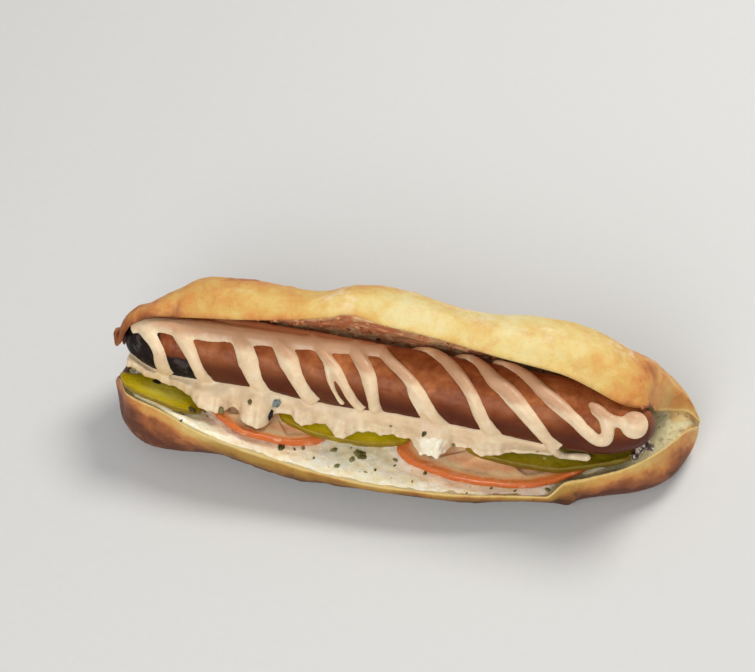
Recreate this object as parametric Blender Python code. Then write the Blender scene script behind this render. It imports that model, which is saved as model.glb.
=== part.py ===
"""A hot dog: a crusty roll cut open from the front, with a sausage and its thick drizzle of sauce,
gherkin and tomato slices, and a layer of herb mayonnaise.

X runs along the roll, +Y points to the hinge at its back and +Z is up. The origin is the centre of
the bounding box, at the level of the table. Lengths in this file are in millimetres until MM.
"""

import math

import bpy
import numpy as np

MM = 0.001
GAP = 0.4  # between pieces that touch

# ---- The roll, as curves along X: (x, value) pairs joined smoothly by along()
LEFT_TIP, RIGHT_TIP = -102.5, 102.5
LIP_Y = ((-102.5, -8), (-98, -14.4), (-94, -21.0), (-79, -26.2), (-69, -29.5), (-48, -32.6), (-5, -34.8),
         (19, -33.6), (46, -29.2), (55, -27.8), (59.5, -24.4), (66, -21.8), (84, -14), (90, -8.2),
         (96, 0.8), (102.5, 13))  # front edge of the base
LIP_Z = ((-102.5, 18), (-99.5, 26), (-95, 29), (-88, 29), (-60, 24), (-10, 16.5), (55, 15), (64, 16.5),
         (90, 19), (97, 18.5), (102.5, 13.5))
RIM_RISE = ((54, 0), (59.5, 4.2), (66, 3.4), (76, 3.6), (86, 5.4), (94, 4.4), (101, 1.2), (102.5, 0))
RIM_WIDTH = 0.25  # the lip's right end stands up by RIM_RISE over this share of the cut face's depth
BELLY_Z = 8.0  # height at which the base's front crust is measured
BELLY_Y = ((-102.5, -10), (-98, -20.5), (-81, -26.6), (-62, -26), (-50, -28.2), (-29, -31.5), (19, -30.8),
           (57, -24.8), (61, -25.2), (65, -22.2), (85, -15), (95, -8.6), (101, 1.5), (102.5, 10))
BACK_Y = ((-102.5, 11), (-96, 16.5), (-88, 21), (-55, 29.5), (60, 34.8), (78, 33), (97, 23.5),
          (102.5, 15.5))
ROOT_Y = ((-102.5, 8.5), (-95, 12.6), (-84, 14), (80, 13.5), (92, 9.8), (98, 12.5), (102.5, 14))
ROOT_Z = ((-102.5, 24), (-95, 27), (-60, 25), (80, 24.5), (92, 23.6), (98, 20.6), (102.5, 14))
LID_Y = ((-102.5, -2.5), (-101.3, -4.8), (-99.5, -4.6), (-97.5, -3.8), (-95.5, -3), (-84, -1.1), (-57, -2.4),
         (-27, 0.6), (-20, 2.7), (-9, 0.5), (8, -1.3), (33, -4.5), (53, -5.6), (74, -10.3),
         (82.3, -7.9), (86.4, -2.2), (92, 8.6), (102.5, 13.7))  # front edge of the lid
LID_Z = ((-102.5, 37.5), (-101.3, 34.5), (-99.5, 37), (-97.5, 41.5), (-95.5, 44.4), (-84, 48.2), (-57, 54.4),
         (-36, 57.1), (-21, 59), (8, 58.3), (63, 52.3), (78.5, 46.6), (82.3, 44.4), (86.4, 37.0),
         (92, 24.8), (98, 21.3), (102.5, 14.6))
LID_THICKNESS = ((-102.5, 3), (-98, 5), (-93, 6.2), (-88, 8.2), (-82, 11.6), (-76, 15), (-70, 16.4),
                 (-57, 16.6), (-32, 13.6), (-20, 16.5), (-9, 18.4), (20, 15.8), (44, 18.8), (60, 19), (75, 16.5),
                 (87, 12.8), (95, 8.5), (102.5, 2))
DISH_DEPTH = ((-102.5, 1.5), (-95, 6), (-78, 9), (-50, 9.3), (50, 8.6), (75, 7.6), (84, 5.0), (92, 1.4),
              (99, 0.3))

# ---- The sausage
SAUSAGE_LEFT, SAUSAGE_RIGHT = -99.5, 87.0
SAUSAGE_RADIUS = 12.1
SAUSAGE_ENDS = ((24.0, 2.6), (24.0, 2.2))  # length of the left and right end, and how blunt it is
AXIS_Y = (1.2, -8.8)  # at the left and the right end
AXIS_Z = (34.1, 35.9)

# Each strand of sauce: width, then (x, angle from the sausage's top towards its front) pairs
STRANDS = (
    (6.4, ((-95, 15), (-83, 12), (-71, 9), (-50, 2), (-29, -6), (-8, -14))),
    (5.4, ((-91.4, 12), (-90, 24), (-84.8, 57), (-82, 104))),
    (5.4, ((-80, 6), (-78.5, 20), (-73, 52), (-67.5, 108))),
    (6.6, ((-58, 2), (-56.6, 18), (-53, 45), (-47.5, 104))),
    (5.8, ((-45, -4), (-43.7, 6), (-38.5, 38), (-30, 106))),
    (3.6, ((-33, -20), (-29.2, 5), (-21, 44), (-12.5, 104))),
    (1.9, ((-26.5, 30), (-19, 100))),
    (5.2, ((-18, -22), (-15.7, 3), (-10.4, 41), (-7, 104))),
    (4.6, ((-9, -22), (-4.9, 2), (4.4, 37), (15.5, 106))),
    (2.2, ((2.5, 38), (10.5, 104))),
    (5.2, ((13, -24), (17.9, 0), (25, 39), (33, 104))),
    (5.2, ((27, -20), (31, 2), (36, 19), (45.7, 60), (55, 112))),
    (4.5, ((44, -8), (49, 12), (59.1, 44), (66.6, 71), (69.2, 77), (71.3, 72), (71.4, 56), (69.8, 36),
           (66, 22))),
    (4.2, ((64.0, 15), (67.0, 24), (72, 36), (79, 38))),
)
# The stripe that runs off the sausage and on over the right gherkin slice, as (x, y, z, radius) points
RUNAWAY = ((52.5, -18.8, 32.0, 1.7), (54.5, -18.6, 29.0, 1.6), (56.8, -17.0, 24.9, 1.5),
           (59.5, -15.6, 22.9, 1.3), (62.8, -15.6, 23.5, 1.4), (65.8, -16.0, 24.5, 1.6),
           (66.8, -16.2, 24.6, 1.2))
STRAND_HEIGHT = 1.7
BLOB = (79.8, 38.0, 4.7)  # x, angle, radius of the drop where the drizzle ends

# ---- The thick run-off below the strands
BAND_LEFT, BAND_RIGHT = -96.0, 54.0
BAND_Y = ((-96, -11.5), (-80, -14), (-60, -16), (-40, -15.6), (-10, -17), (34, -17.6), (56, -15.2))
BAND_TOP = ((-96, 96), (-80, 112), (-47, 101), (-33, 114), (-17, 112), (0, 100), (34, 104), (56, 126))
DRIPS = ((-66, 5.4, 6.5), (-49, 8.3, 5.5), (-32.5, 3.4, 4.5), (-19, 4.6, 4.5), (12.5, 6.2, 6.0),
         (31, 2.2, 5.0))  # x, how far it reaches past the front edge, half width

# ---- Slices: centre x and y, half length, half depth, turn in degrees, height over the crumb, thickness
SLICES = {
    "pickle_left": (-82.5, -16.0, 15.0, 7.9, -3.0, 1.8, 2.6),
    "pickle_middle": (-18.5, -12.4, 25.0, 8.4, 0.0, 5.7, 2.7),
    "pickle_right": (52.0, -11.6, 30.0, 8.2, 1.0, 5.75, 2.7),
    "tomato_left": (-45.0, -11.0, 22.5, 14.8, -1.0, 1.8, 3.2),
    "tomato_right": (33.5, -9.8, 35.0, 18.2, 3.0, 1.8, 3.2),
}
SPREAD_THICKNESS = 1.3
FLECKS = ((-12.1, -20.7, 2.2), (-21.3, -20.9, 1.3), (-18.7, -28.3, 1.2), (-31.7, -26.0, 1.1),
          (-38.8, -27.6, 1.2))


def smooth(low, high, x):
    """0 below low, 1 above high, with a smooth rise between."""
    t = np.clip((x - low) / (high - low), 0.0, 1.0)
    return t * t * (3.0 - 2.0 * t)


def mix(a, b, share):
    return a + (b - a) * share


def along(x, points):
    """A smooth curve through (x, value) points that doesn't overshoot; level beyond the ends."""
    px, value = np.array(points, float).T
    step = np.diff(px)
    rise = np.diff(value) / step
    slope = np.zeros(len(px))
    product = rise[:-1] * rise[1:]
    slope[1:-1] = np.where(product > 0, 2 * product / np.where(product > 0, rise[:-1] + rise[1:], 1), 0)
    slope[0], slope[-1] = rise[0], rise[-1]
    x = np.clip(x, px[0], px[-1])
    k = np.clip(np.searchsorted(px, x) - 1, 0, len(step) - 1)
    t = (x - px[k]) / step[k]
    return (value[k] * (1 + 2 * t) * (1 - t) ** 2 + value[k + 1] * t * t * (3 - 2 * t)
            + step[k] * (slope[k] * t * (1 - t) ** 2 + slope[k + 1] * t * t * (t - 1)))


def dish(x, y):
    """Height of the base's cut face, which the fillings press down."""
    y0, z0 = along(x, LIP_Y), along(x, LIP_Z)
    y1, z1 = along(x, ROOT_Y), along(x, ROOT_Z)
    w = np.clip((y - y0) / np.maximum(y1 - y0, 1e-3), 0.0, 1.0)
    return mix(z0, z1, w) - along(x, DISH_DEPTH) * (4.0 * w * (1.0 - w)) ** 0.85


def axis(x):
    share = (x - SAUSAGE_LEFT) / (SAUSAGE_RIGHT - SAUSAGE_LEFT)
    return np.stack([x, mix(*AXIS_Y, share), mix(*AXIS_Z, share)], axis=-1)


def sausage_radius(x):
    share = 1.0
    for (length, blunt), depth in zip(SAUSAGE_ENDS, (x - SAUSAGE_LEFT, SAUSAGE_RIGHT - x)):
        share = np.minimum(share, np.sqrt(1.0 - np.clip(1.0 - depth / length, 0.0, 1.0) ** blunt))
    return SAUSAGE_RADIUS * share


# ---------------------------------------------------------------- the roll

BASE_STEPS, LID_STEPS = 14, 10
RING_STEPS = BASE_STEPS + LID_STEPS
HINGE_INSET = 7.0  # how far the hinge's left end lies inside the lid's and the base's
CORE = 0.45  # both faces of the bread close on this share of its thickness at the tips


def spline(points, count):
    """count + 1 points spread evenly along a smooth curve through the given ones."""
    p = np.array(points, float)
    p = np.vstack([2 * p[0] - p[1], p, 2 * p[-1] - p[-2]])
    t = np.linspace(0.0, 1.0, 13)[:-1, None]
    pieces = []
    for a, b, c, d in zip(p, p[1:], p[2:], p[3:]):
        pieces.append(0.5 * (2 * b + (c - a) * t + (2 * a - 5 * b + 4 * c - d) * t**2
                             + (3 * b - a - 3 * c + d) * t**3))
    line = np.vstack([*pieces, p[-2][None]])
    length = np.concatenate([[0.0], np.cumsum(np.linalg.norm(np.diff(line, axis=0), axis=1))])
    wanted = np.linspace(0.0, length[-1], count + 1)
    return np.stack([np.interp(wanted, length, line[:, k]) for k in range(line.shape[1])], axis=1)


def moved_out(x, points, wanted):
    """The same points, moved off the sausage's axis where they are nearer to it than wanted."""
    centre = axis(x)[..., 1:]
    off = points - centre
    distance = np.maximum(np.linalg.norm(off, axis=-1), 1e-6)
    return centre + off * np.maximum(1.0, wanted / distance)[..., None]


def pushed_clear(x, points, near_lip=1.0):
    """The same points, moved off the sausage where they are too near it. The lid's lip, which hangs
    over the sauce at the left, stays further away."""
    wanted = np.max([sausage_radius(x + d) for d in (-1.0, 0.0, 1.0)], axis=0)
    room = 0.9 + smooth(-50, -72, x) * mix(-0.5, 2.0, near_lip)
    return moved_out(x, points, wanted + room * np.minimum(1.0, wanted / 3.0))


def lid_tip(x):
    return pushed_clear(x, np.array([along(x, LID_Y), along(x, LID_Z)]))


def inner_line(x):
    """The crumb, from the base's lip down to the root of the cut and up to the lid's lip."""
    root = np.array([along(x, ROOT_Y), along(x, ROOT_Z)])
    tip = lid_tip(x)
    w = np.linspace(0.0, 1.0, BASE_STEPS + 1)
    y = mix(along(x, LIP_Y), root[0], w)
    base = np.stack([y, dish(x, y) + along(x, RIM_RISE) * np.maximum(0.0, 1.0 - w / RIM_WIDTH) ** 2], axis=1)
    s = np.linspace(0.0, 1.0, LID_STEPS + 1)[1:, None]
    run = tip - root
    length = max(np.linalg.norm(run), 1e-6)
    outward = np.array([run[1], -run[0]]) / length
    hollow = min(3.0 + 1.5 * float(smooth(-40.0, -85.0, x)), 0.12 * length + 0.1)
    return np.vstack([base, root + s * run + hollow * np.sin(math.pi * s) * outward])


def outer_line(x):
    """The crust, from the base's lip round the bottom and the back to the lid's lip."""
    y0, z0, y1 = along(x, LIP_Y), along(x, LIP_Z) + along(x, RIM_RISE), along(x, BACK_Y)
    belly, low = along(x, BELLY_Y), min(BELLY_Z, 0.5 * along(x, LIP_Z))
    width = y1 - belly
    root = np.array([along(x, ROOT_Y), along(x, ROOT_Z)])
    tip = lid_tip(x)
    run = tip - root
    length = max(np.linalg.norm(run), 1e-6)
    outward = mix(np.array([0.35, 0.94]), np.array([run[1], -run[0]]) / length, smooth(0.0, 28.0, length))
    thick = float(along(x, LID_THICKNESS))
    points = [
        (y0, z0),
        (mix(y0, belly, 0.45) - 0.9, mix(z0, low, 0.5)),
        (belly, low),
        (belly + 0.085 * width, 0.4 * low),
        (belly + 0.24 * width, 0.0),
        (belly + 0.5 * width, 0.0),
        (y1 - 0.24 * width, 0.0),
        (y1 - 0.06 * width, 0.30 * root[1]),
        (y1, 0.86 * root[1]),
        tuple(root + 0.28 * run + 0.98 * thick * outward),
        tuple(root + 0.66 * run + 1.0 * thick * outward),
        tuple(root + 0.94 * run + 0.58 * thick * outward),
        tuple(tip),
    ]
    line = spline(points, RING_STEPS)
    line[:, 1] = np.maximum(line[:, 1], 0.0)
    return line


def end_shares(x):
    """How much of the bread's thickness is left at x, on the crust's side and on the crumb's."""
    t = max(-(x + 86.0) / 16.5, (x - 78.0) / 24.5, 0.0)
    s = max(-(x + 97.5) / 5.0, (x - 97.0) / 5.5, 0.0)
    return 0.03 + 0.97 * math.sqrt(max(1 - t**2.3, 0)), 0.03 + 0.97 * math.sqrt(max(1 - s * s, 0))


def section(x):
    inner, outer = inner_line(x), outer_line(x)
    core = mix(inner, outer, CORE)
    crust_share, crumb_share = end_shares(x)
    return mix(core, outer, crust_share), mix(core, inner, crumb_share)


def roll_stations():
    """X of each section, closer together at the two ends."""
    s = np.linspace(-1.0, 1.0, 47)
    return RIGHT_TIP * np.sin(s * math.pi / 2 * 0.88) / math.sin(math.pi / 2 * 0.88)


def build_roll():
    verts, faces, rows = [], [], []
    for x in roll_stations():
        outer, inner = section(x)
        step = np.arange(RING_STEPS + 1)
        shift = HINGE_INSET * smooth(-84.0, LEFT_TIP, x) * np.exp(-(((step - BASE_STEPS) / 4.5) ** 2))
        lid = (step - BASE_STEPS) / LID_STEPS
        inner = pushed_clear(x + shift, inner, smooth(0.6, 0.95, lid))
        if x < -70:  # the thin end of the lid keeps this much crust
            crust = 0.8 * smooth(-70.0, -84.0, x) * smooth(LEFT_TIP, -101.0, x)
            crust = crust * smooth(0.05, 0.25, lid) * smooth(1.0, 0.85, lid)
            crust = crust + np.linalg.norm(inner - axis(x + shift)[:, 1:], axis=1)
            outer = np.where(lid[:, None] > 0, moved_out(x + shift, outer, crust), outer)
        outer[0] = inner[0] = mix(outer[0], inner[0], 0.5)
        outer[-1] = inner[-1] = mix(outer[-1], inner[-1], 0.5)
        rows.append(len(verts))
        for ring, move in ((outer, shift), (inner[-2:0:-1], shift[-2:0:-1])):
            verts += [(x + d, y, z) for d, (y, z) in zip(move, ring)]
    count = 2 * RING_STEPS
    for a, b in zip(rows, rows[1:]):
        for i in range(count):
            j = (i + 1) % count
            faces.append((a + i, a + j, b + j, b + i))
    for start, turn in ((rows[0], -1), (rows[-1], 1)):
        for i in range(RING_STEPS):
            inner_a, inner_b = start + (count - i) % count, start + (count - i - 1) % count
            face = [start + i, start + i + 1, inner_b, inner_a]
            face = [v for k, v in enumerate(face) if v != face[k - 1]]
            faces.append(tuple(face[::turn]))
    return verts, faces


# ---------------------------------------------------------------- sausage and sauce


def on_sausage(x, degrees, extra=0.0):
    """A point over the skin; degrees count from the top towards the front."""
    a = math.radians(degrees)
    return axis(x) + (sausage_radius(x) + extra) * np.array([0.0, -math.sin(a), math.cos(a)])


def lathe(rings, first, last):
    """Closed mesh through equal rings of points, with a point at each end."""
    verts = [tuple(p) for ring in rings for p in ring] + [tuple(first), tuple(last)]
    n, faces = len(rings[0]), []
    for r in range(len(rings) - 1):
        for i in range(n):
            a, b, j = r * n, (r + 1) * n, (i + 1) % n
            faces.append((a + i, a + j, b + j, b + i))
    top = (len(rings) - 1) * n
    for i in range(n):
        j = (i + 1) % n
        faces.append((len(verts) - 2, j, i))
        faces.append((len(verts) - 1, top + i, top + j))
    return verts, faces


def build_sausage():
    around = np.linspace(0.0, 360.0, 25)[:-1]
    s = np.linspace(-1.0, 1.0, 25)[1:-1]
    middle, half = (SAUSAGE_LEFT + SAUSAGE_RIGHT) / 2, (SAUSAGE_RIGHT - SAUSAGE_LEFT) / 2
    stations = middle + half * np.sin(s * math.pi / 2)
    rings = [[on_sausage(x, -a) for a in around] for x in stations]
    return lathe(rings, axis(SAUSAGE_LEFT), axis(SAUSAGE_RIGHT))


def build_strand(width, path):
    """A ridge of sauce that follows the sausage's skin."""
    path = spline(path, max(5, round(np.linalg.norm(np.subtract(path[-1], path[0])) / 17)))
    centres = np.array([on_sausage(x, a, 0.1) for x, a in path])
    tangents = np.gradient(centres, axis=0)
    rings = []
    for k, (x, a) in enumerate(path):
        up = on_sausage(x, a, 1.0) - on_sausage(x, a)
        side = np.cross(tangents[k], up)
        side /= np.linalg.norm(side)
        end = min(k, len(path) - 1 - k)
        taper = 1.0 if end else 0.72
        angles = np.radians((0, 40, 90, 140, 180, 270))
        rings.append([centres[k] + taper * (0.5 * width * math.cos(t) * side
                                            + STRAND_HEIGHT * math.sin(t) * up) for t in angles])
    reach = 0.25 * width
    first = centres[0] - reach * tangents[0] / np.linalg.norm(tangents[0])
    last = centres[-1] + reach * tangents[-1] / np.linalg.norm(tangents[-1])
    return lathe(rings, first, last)


def build_stem(path):
    """A closed tube of sauce through (x, y, z, radius) points."""
    line = spline(path, 9)
    rings = []
    for spot, tangent in zip(line, np.gradient(line[:, :3], axis=0)):
        side = np.cross(tangent, (0.3, 1.0, 0.2))
        side /= np.linalg.norm(side)
        front = np.cross(tangent, side) / np.linalg.norm(tangent)
        rings.append([spot[:3] + spot[3] * (math.cos(a) * side + math.sin(a) * front)
                      for a in np.linspace(0, 2 * math.pi, 8)[:-1]])
    reach = 0.15 * (line[-1, :3] - line[-2, :3])
    return lathe(rings, line[0, :3] - reach, line[-1, :3] + reach)


def build_blob(x, degrees, radius):
    centre = on_sausage(x, degrees, 0.8)
    up = on_sausage(x, degrees, 1.0) - on_sausage(x, degrees)
    side = np.array([1.0, 0.0, 0.0])
    front = np.cross(up, side)
    rings = []
    for lift in np.radians((-55, -20, 15, 50, 75)):
        ring = []
        for a in np.linspace(0, 2 * math.pi, 13)[:-1]:
            flat = radius * math.cos(lift) * (math.cos(a) * side + math.sin(a) * front)
            ring.append(centre + flat + 2.9 * math.sin(lift) * up)
        rings.append(ring)
    return lathe(rings, centre - 2.9 * up, centre + 2.9 * up)


def filling_top(x, y):
    """The highest thing on the crumb at this place."""
    top = dish(x, y) + GAP + SPREAD_THICKNESS
    for name, piece in SLICES.items():
        if slice_share(piece, x, y) < 1.12:
            top = max(top, slice_bottom(name, x, y) + piece[6])
    return top


def rest_height(x, y):
    """Level at which sauce lies over the fillings near this place."""
    return max(filling_top(x + d, y + e) for d in (-3.5, -1.8, 0, 1.8, 3.5) for e in (-0.8, 0.8, 2.4)) + GAP


def band_front(x):
    return along(x, BAND_Y) - sum(reach * math.exp(-(((x - at) / wide) ** 4)) for at, reach, wide in DRIPS)


def build_band():
    """The run-off: a thick curtain from the sausage's front down onto the slices."""
    rings = []
    for x in np.linspace(BAND_LEFT, BAND_RIGHT, 52):
        top = float(along(x, BAND_TOP))
        start = on_sausage(x, top, 0.9)
        front = mix(float(band_front(x)), float(start[1]) + 2.5, float(smooth(32.0, 53.0, x)))
        tip_z = max(rest_height(x, front), 21.0)
        fade = float(smooth(BAND_RIGHT + 1, 30.0, x)) * float(smooth(BAND_LEFT - 1, -92.0, x))
        deep = 1.3 + 1.0 * fade
        inner = on_sausage(x, top + 22, -2.0)
        body = on_sausage(x, top - 3, -2.2)
        over = mix(start[1:], np.array([front, tip_z + deep]), 0.5) + np.array([-0.5, 0.9])
        under = np.array([mix(inner[1], front, 0.55), 0.0])
        under[1] = max(rest_height(x, under[0]), mix(inner[2], tip_z, 0.5))
        ring = [body[1:], start[1:], over, (front + 0.5, tip_z + deep), (front - 0.3, tip_z + 0.5 * deep),
                (front + 0.6, tip_z), under, inner[1:]]
        rings.append([(x, y, z) for y, z in ring])
    first = np.mean(rings[0], axis=0) - np.array([0.8, 0, 0])
    last = np.mean(rings[-1], axis=0) + np.array([0.8, 0, 0])
    return lathe([ring[::-1] for ring in rings], first, last)


# ---------------------------------------------------------------- slices and spread


def slice_share(piece, x, y):
    """0 at the slice's centre, 1 on its rim."""
    turn = math.radians(piece[4])
    dx, dy = x - piece[0], y - piece[1]
    u = (dx * math.cos(turn) + dy * math.sin(turn)) / piece[2]
    v = (dy * math.cos(turn) - dx * math.sin(turn)) / piece[3]
    return math.hypot(u, v)


def slice_bottom(name, x, y):
    return dish(x, y) + GAP + SLICES[name][5]


def build_slice(name):
    """An oval slice that lies on what is under it, with rounded rims."""
    cx, cy, long, deep, turn, _, thick = SLICES[name]
    turn = math.radians(turn)
    rims = ((0.4, 0), (0.75, 0), (0.96, 0), (1.0, 0.5), (0.96, 1), (0.75, 1), (0.4, 1))
    rings = []
    for share, level in rims:
        ring = []
        for a in np.linspace(0, 2 * math.pi, 29)[:-1]:
            wave = 1 + 0.02 * math.sin(5 * a + cx) + 0.012 * math.sin(9 * a)
            u, v = long * share * wave * math.cos(a), deep * share * wave * math.sin(a)
            x = cx + u * math.cos(turn) - v * math.sin(turn)
            y = cy + u * math.sin(turn) + v * math.cos(turn)
            ring.append((x, y, slice_bottom(name, x, y) + thick * level))
        rings.append(ring)
    low = slice_bottom(name, cx, cy)
    return lathe(rings, (cx, cy, low), (cx, cy, low + thick))


def spread_edges(x):
    lip = max(along(x + d, LIP_Y) for d in (-3.0, 0.0, 3.0))
    front = lip + 2.6 + 1.0 * math.sin(0.35 * x) + 0.5 * math.sin(0.9 * x + 1) + 5.0 * smooth(53.0, 59.0, x)
    return front, along(x, ROOT_Y) - 4.0 - 7.0 * smooth(-72.0, -90.0, x)


def build_spread():
    """A layer on the crumb, thin at its edges."""
    rings = []
    for x in np.linspace(-90.0, 72.0, 34):
        front, back = spread_edges(x)
        ends = min(1.0, (x + 91.5) / 5, (73.5 - x) / 5)
        steps = np.linspace(0.0, 9.0, 10)
        y = mix(front, back, steps / 9.0)
        z = dish(x, y) + GAP
        edge = np.minimum(1.0, steps * 0.75 + 0.15) * np.minimum(1.0, steps[::-1] * 0.75 + 0.15)
        top = z + SPREAD_THICKNESS * edge * (0.25 + 0.75 * ends)
        rings.append([(x, a, b) for a, b in zip(y, z)] + [(x, a, b) for a, b in zip(y[::-1], top[::-1])])
    return lathe(rings, np.mean(rings[0], axis=0), np.mean(rings[-1], axis=0))


def build_fleck(x, y, radius):
    """A scrap of herb pressed into the spread."""
    z = dish(x, y) + GAP + SPREAD_THICKNESS
    rings = []
    for share, lift in ((0.8, -0.7), (1.0, 0.15), (0.75, 0.6)):
        ring = []
        for a in np.linspace(0, 2 * math.pi, 8)[:-1]:
            r = radius * share * (1 + 0.22 * math.sin(2 * a + x) + 0.12 * math.sin(3 * a))
            px, py = x + r * math.cos(a), y + 0.8 * r * math.sin(a)
            ring.append((px, py, dish(px, py) + GAP + SPREAD_THICKNESS + lift))
        rings.append(ring)
    return lathe(rings, (x, y, z - 0.8), (x, y, z + 0.7))


# ---------------------------------------------------------------- objects


def make_material(name, colour, roughness):
    material = bpy.data.materials.new(name)
    material.use_nodes = True
    shader = material.node_tree.nodes["Principled BSDF"]
    shader.inputs["Base Color"].default_value = (*colour, 1.0)
    shader.inputs["Roughness"].default_value = roughness
    return material


def make_mesh(name, shape, material=None, collection=None):
    verts, faces = shape
    mesh = bpy.data.meshes.new(name)
    mesh.from_pydata([tuple(float(c) * MM for c in v) for v in verts], [], faces)
    mesh.validate()
    mesh.update()
    obj = bpy.data.objects.new(name, mesh)
    (collection or bpy.context.scene.collection).objects.link(obj)
    if material:
        mesh.materials.append(material)
    return obj


def join(obj, shapes):
    """Fuses the shapes to the object, and removes them."""
    group = bpy.data.collections.new(obj.name + "_joined")
    bpy.context.scene.collection.children.link(group)
    for i, shape in enumerate(shapes):
        make_mesh(f"{obj.name}_join_{i}", shape, collection=group)
    modifier = obj.modifiers.new("join", "BOOLEAN")
    modifier.operation = "UNION"
    modifier.operand_type = "COLLECTION"
    modifier.collection = group
    modifier.solver = "EXACT"
    graph = bpy.context.evaluated_depsgraph_get()
    mesh = bpy.data.meshes.new_from_object(obj.evaluated_get(graph))
    obj.modifiers.clear()
    obj.data = mesh
    for helper in list(group.objects):
        bpy.data.objects.remove(helper)
    bpy.data.collections.remove(group)


for old in list(bpy.data.objects):
    bpy.data.objects.remove(old)

make_mesh("bun", build_roll(), make_material("crust", (0.72, 0.44, 0.16), 0.6))
sausage = make_mesh("sausage", build_sausage(), make_material("sausage", (0.24, 0.07, 0.03), 0.35))
strands = [build_strand(*strand) for strand in STRANDS]
join(sausage, [*strands, build_blob(*BLOB), build_band(), build_stem(RUNAWAY)])
pickle = make_material("pickle", (0.33, 0.29, 0.03), 0.3)
tomato = make_material("tomato", (0.52, 0.13, 0.05), 0.3)
for slice_name in SLICES:
    make_mesh(slice_name, build_slice(slice_name), pickle if "pickle" in slice_name else tomato)
spread = make_mesh("spread", build_spread(), make_material("spread", (0.76, 0.73, 0.58), 0.5))
join(spread, [build_fleck(*fleck) for fleck in FLECKS])
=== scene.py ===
"""A hot dog: a crusty roll cut open from the front, a grilled sausage under stripes of sauce, gherkin
and tomato slices, and herb mayonnaise on the crumb. Lengths are in millimetres until MM."""
import itertools
import math

import bpy
import numpy as np
from mathutils import Matrix, Vector


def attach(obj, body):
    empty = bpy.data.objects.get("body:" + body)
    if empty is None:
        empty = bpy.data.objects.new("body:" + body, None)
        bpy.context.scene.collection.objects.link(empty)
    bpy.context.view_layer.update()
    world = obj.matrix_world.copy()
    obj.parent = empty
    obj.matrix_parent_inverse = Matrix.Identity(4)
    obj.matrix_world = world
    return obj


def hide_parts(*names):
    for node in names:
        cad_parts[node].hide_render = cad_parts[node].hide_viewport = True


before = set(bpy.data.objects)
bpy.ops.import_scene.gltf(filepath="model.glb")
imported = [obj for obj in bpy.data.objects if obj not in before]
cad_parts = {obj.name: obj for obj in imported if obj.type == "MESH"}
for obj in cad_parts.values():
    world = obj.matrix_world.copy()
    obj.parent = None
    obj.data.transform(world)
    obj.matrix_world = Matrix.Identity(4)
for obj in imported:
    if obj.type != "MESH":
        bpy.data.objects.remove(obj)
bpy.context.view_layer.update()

MM = 0.001
GAP = 0.4  # between pieces that touch

# ---- The roll, as curves along X: (x, value) pairs joined smoothly by along()
LEFT_TIP, RIGHT_TIP = -102.5, 102.5
LIP_Y = ((-102.5, -8), (-98, -14.4), (-94, -21.0), (-79, -26.2), (-69, -29.5), (-48, -32.6), (-5, -34.8),
         (19, -33.6), (46, -29.2), (55, -27.8), (59.5, -24.4), (66, -21.8), (84, -14), (90, -8.2),
         (96, 0.8), (102.5, 13))  # front edge of the base
LIP_Z = ((-102.5, 18), (-99.5, 26), (-95, 29), (-88, 29), (-60, 24), (-10, 16.5), (55, 15), (64, 16.5),
         (90, 19), (97, 18.5), (102.5, 13.5))
RIM_RISE = ((54, 0), (59.5, 4.2), (66, 3.4), (76, 3.6), (86, 5.4), (94, 4.4), (101, 1.2), (102.5, 0))
RIM_WIDTH = 0.25  # the lip's right end stands up by RIM_RISE over this share of the cut face's depth
BELLY_Z = 8.0  # height at which the base's front crust is measured
BELLY_Y = ((-102.5, -10), (-98, -20.5), (-81, -26.6), (-62, -26), (-50, -28.2), (-29, -31.5), (19, -30.8),
           (57, -24.8), (61, -25.2), (65, -22.2), (85, -15), (95, -8.6), (101, 1.5), (102.5, 10))
BACK_Y = ((-102.5, 11), (-96, 16.5), (-88, 21), (-55, 29.5), (60, 34.8), (78, 33), (97, 23.5),
          (102.5, 15.5))
ROOT_Y = ((-102.5, 8.5), (-95, 12.6), (-84, 14), (80, 13.5), (92, 9.8), (98, 12.5), (102.5, 14))
ROOT_Z = ((-102.5, 24), (-95, 27), (-60, 25), (80, 24.5), (92, 23.6), (98, 20.6), (102.5, 14))
LID_Y = ((-102.5, -2.5), (-101.3, -4.8), (-99.5, -4.6), (-97.5, -3.8), (-95.5, -3), (-84, -1.1), (-57, -2.4),
         (-27, 0.6), (-20, 2.7), (-9, 0.5), (8, -1.3), (33, -4.5), (53, -5.6), (74, -10.3),
         (82.3, -7.9), (86.4, -2.2), (92, 8.6), (102.5, 13.7))  # front edge of the lid
LID_Z = ((-102.5, 37.5), (-101.3, 34.5), (-99.5, 37), (-97.5, 41.5), (-95.5, 44.4), (-84, 48.2), (-57, 54.4),
         (-36, 57.1), (-21, 59), (8, 58.3), (63, 52.3), (78.5, 46.6), (82.3, 44.4), (86.4, 37.0),
         (92, 24.8), (98, 21.3), (102.5, 14.6))
LID_THICKNESS = ((-102.5, 3), (-98, 5), (-93, 6.2), (-88, 8.2), (-82, 11.6), (-76, 15), (-70, 16.4),
                 (-57, 16.6), (-32, 13.6), (-20, 16.5), (-9, 18.4), (20, 15.8), (44, 18.8), (60, 19),
                 (75, 16.5), (87, 12.8), (95, 8.5), (102.5, 2))
DISH_DEPTH = ((-102.5, 1.5), (-95, 6), (-78, 9), (-50, 9.3), (50, 8.6), (75, 7.6), (84, 5.0),
              (92, 1.4), (99, 0.3))

# ---- The sausage
SAUSAGE_LEFT, SAUSAGE_RIGHT = -99.5, 87.0
SAUSAGE_RADIUS = 12.1
SAUSAGE_ENDS = ((24.0, 2.6), (24.0, 2.2))  # length of the left and right end, and how blunt it is
AXIS_Y = (1.2, -8.8)  # at the left and the right end
AXIS_Z = (34.1, 35.9)

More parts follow.
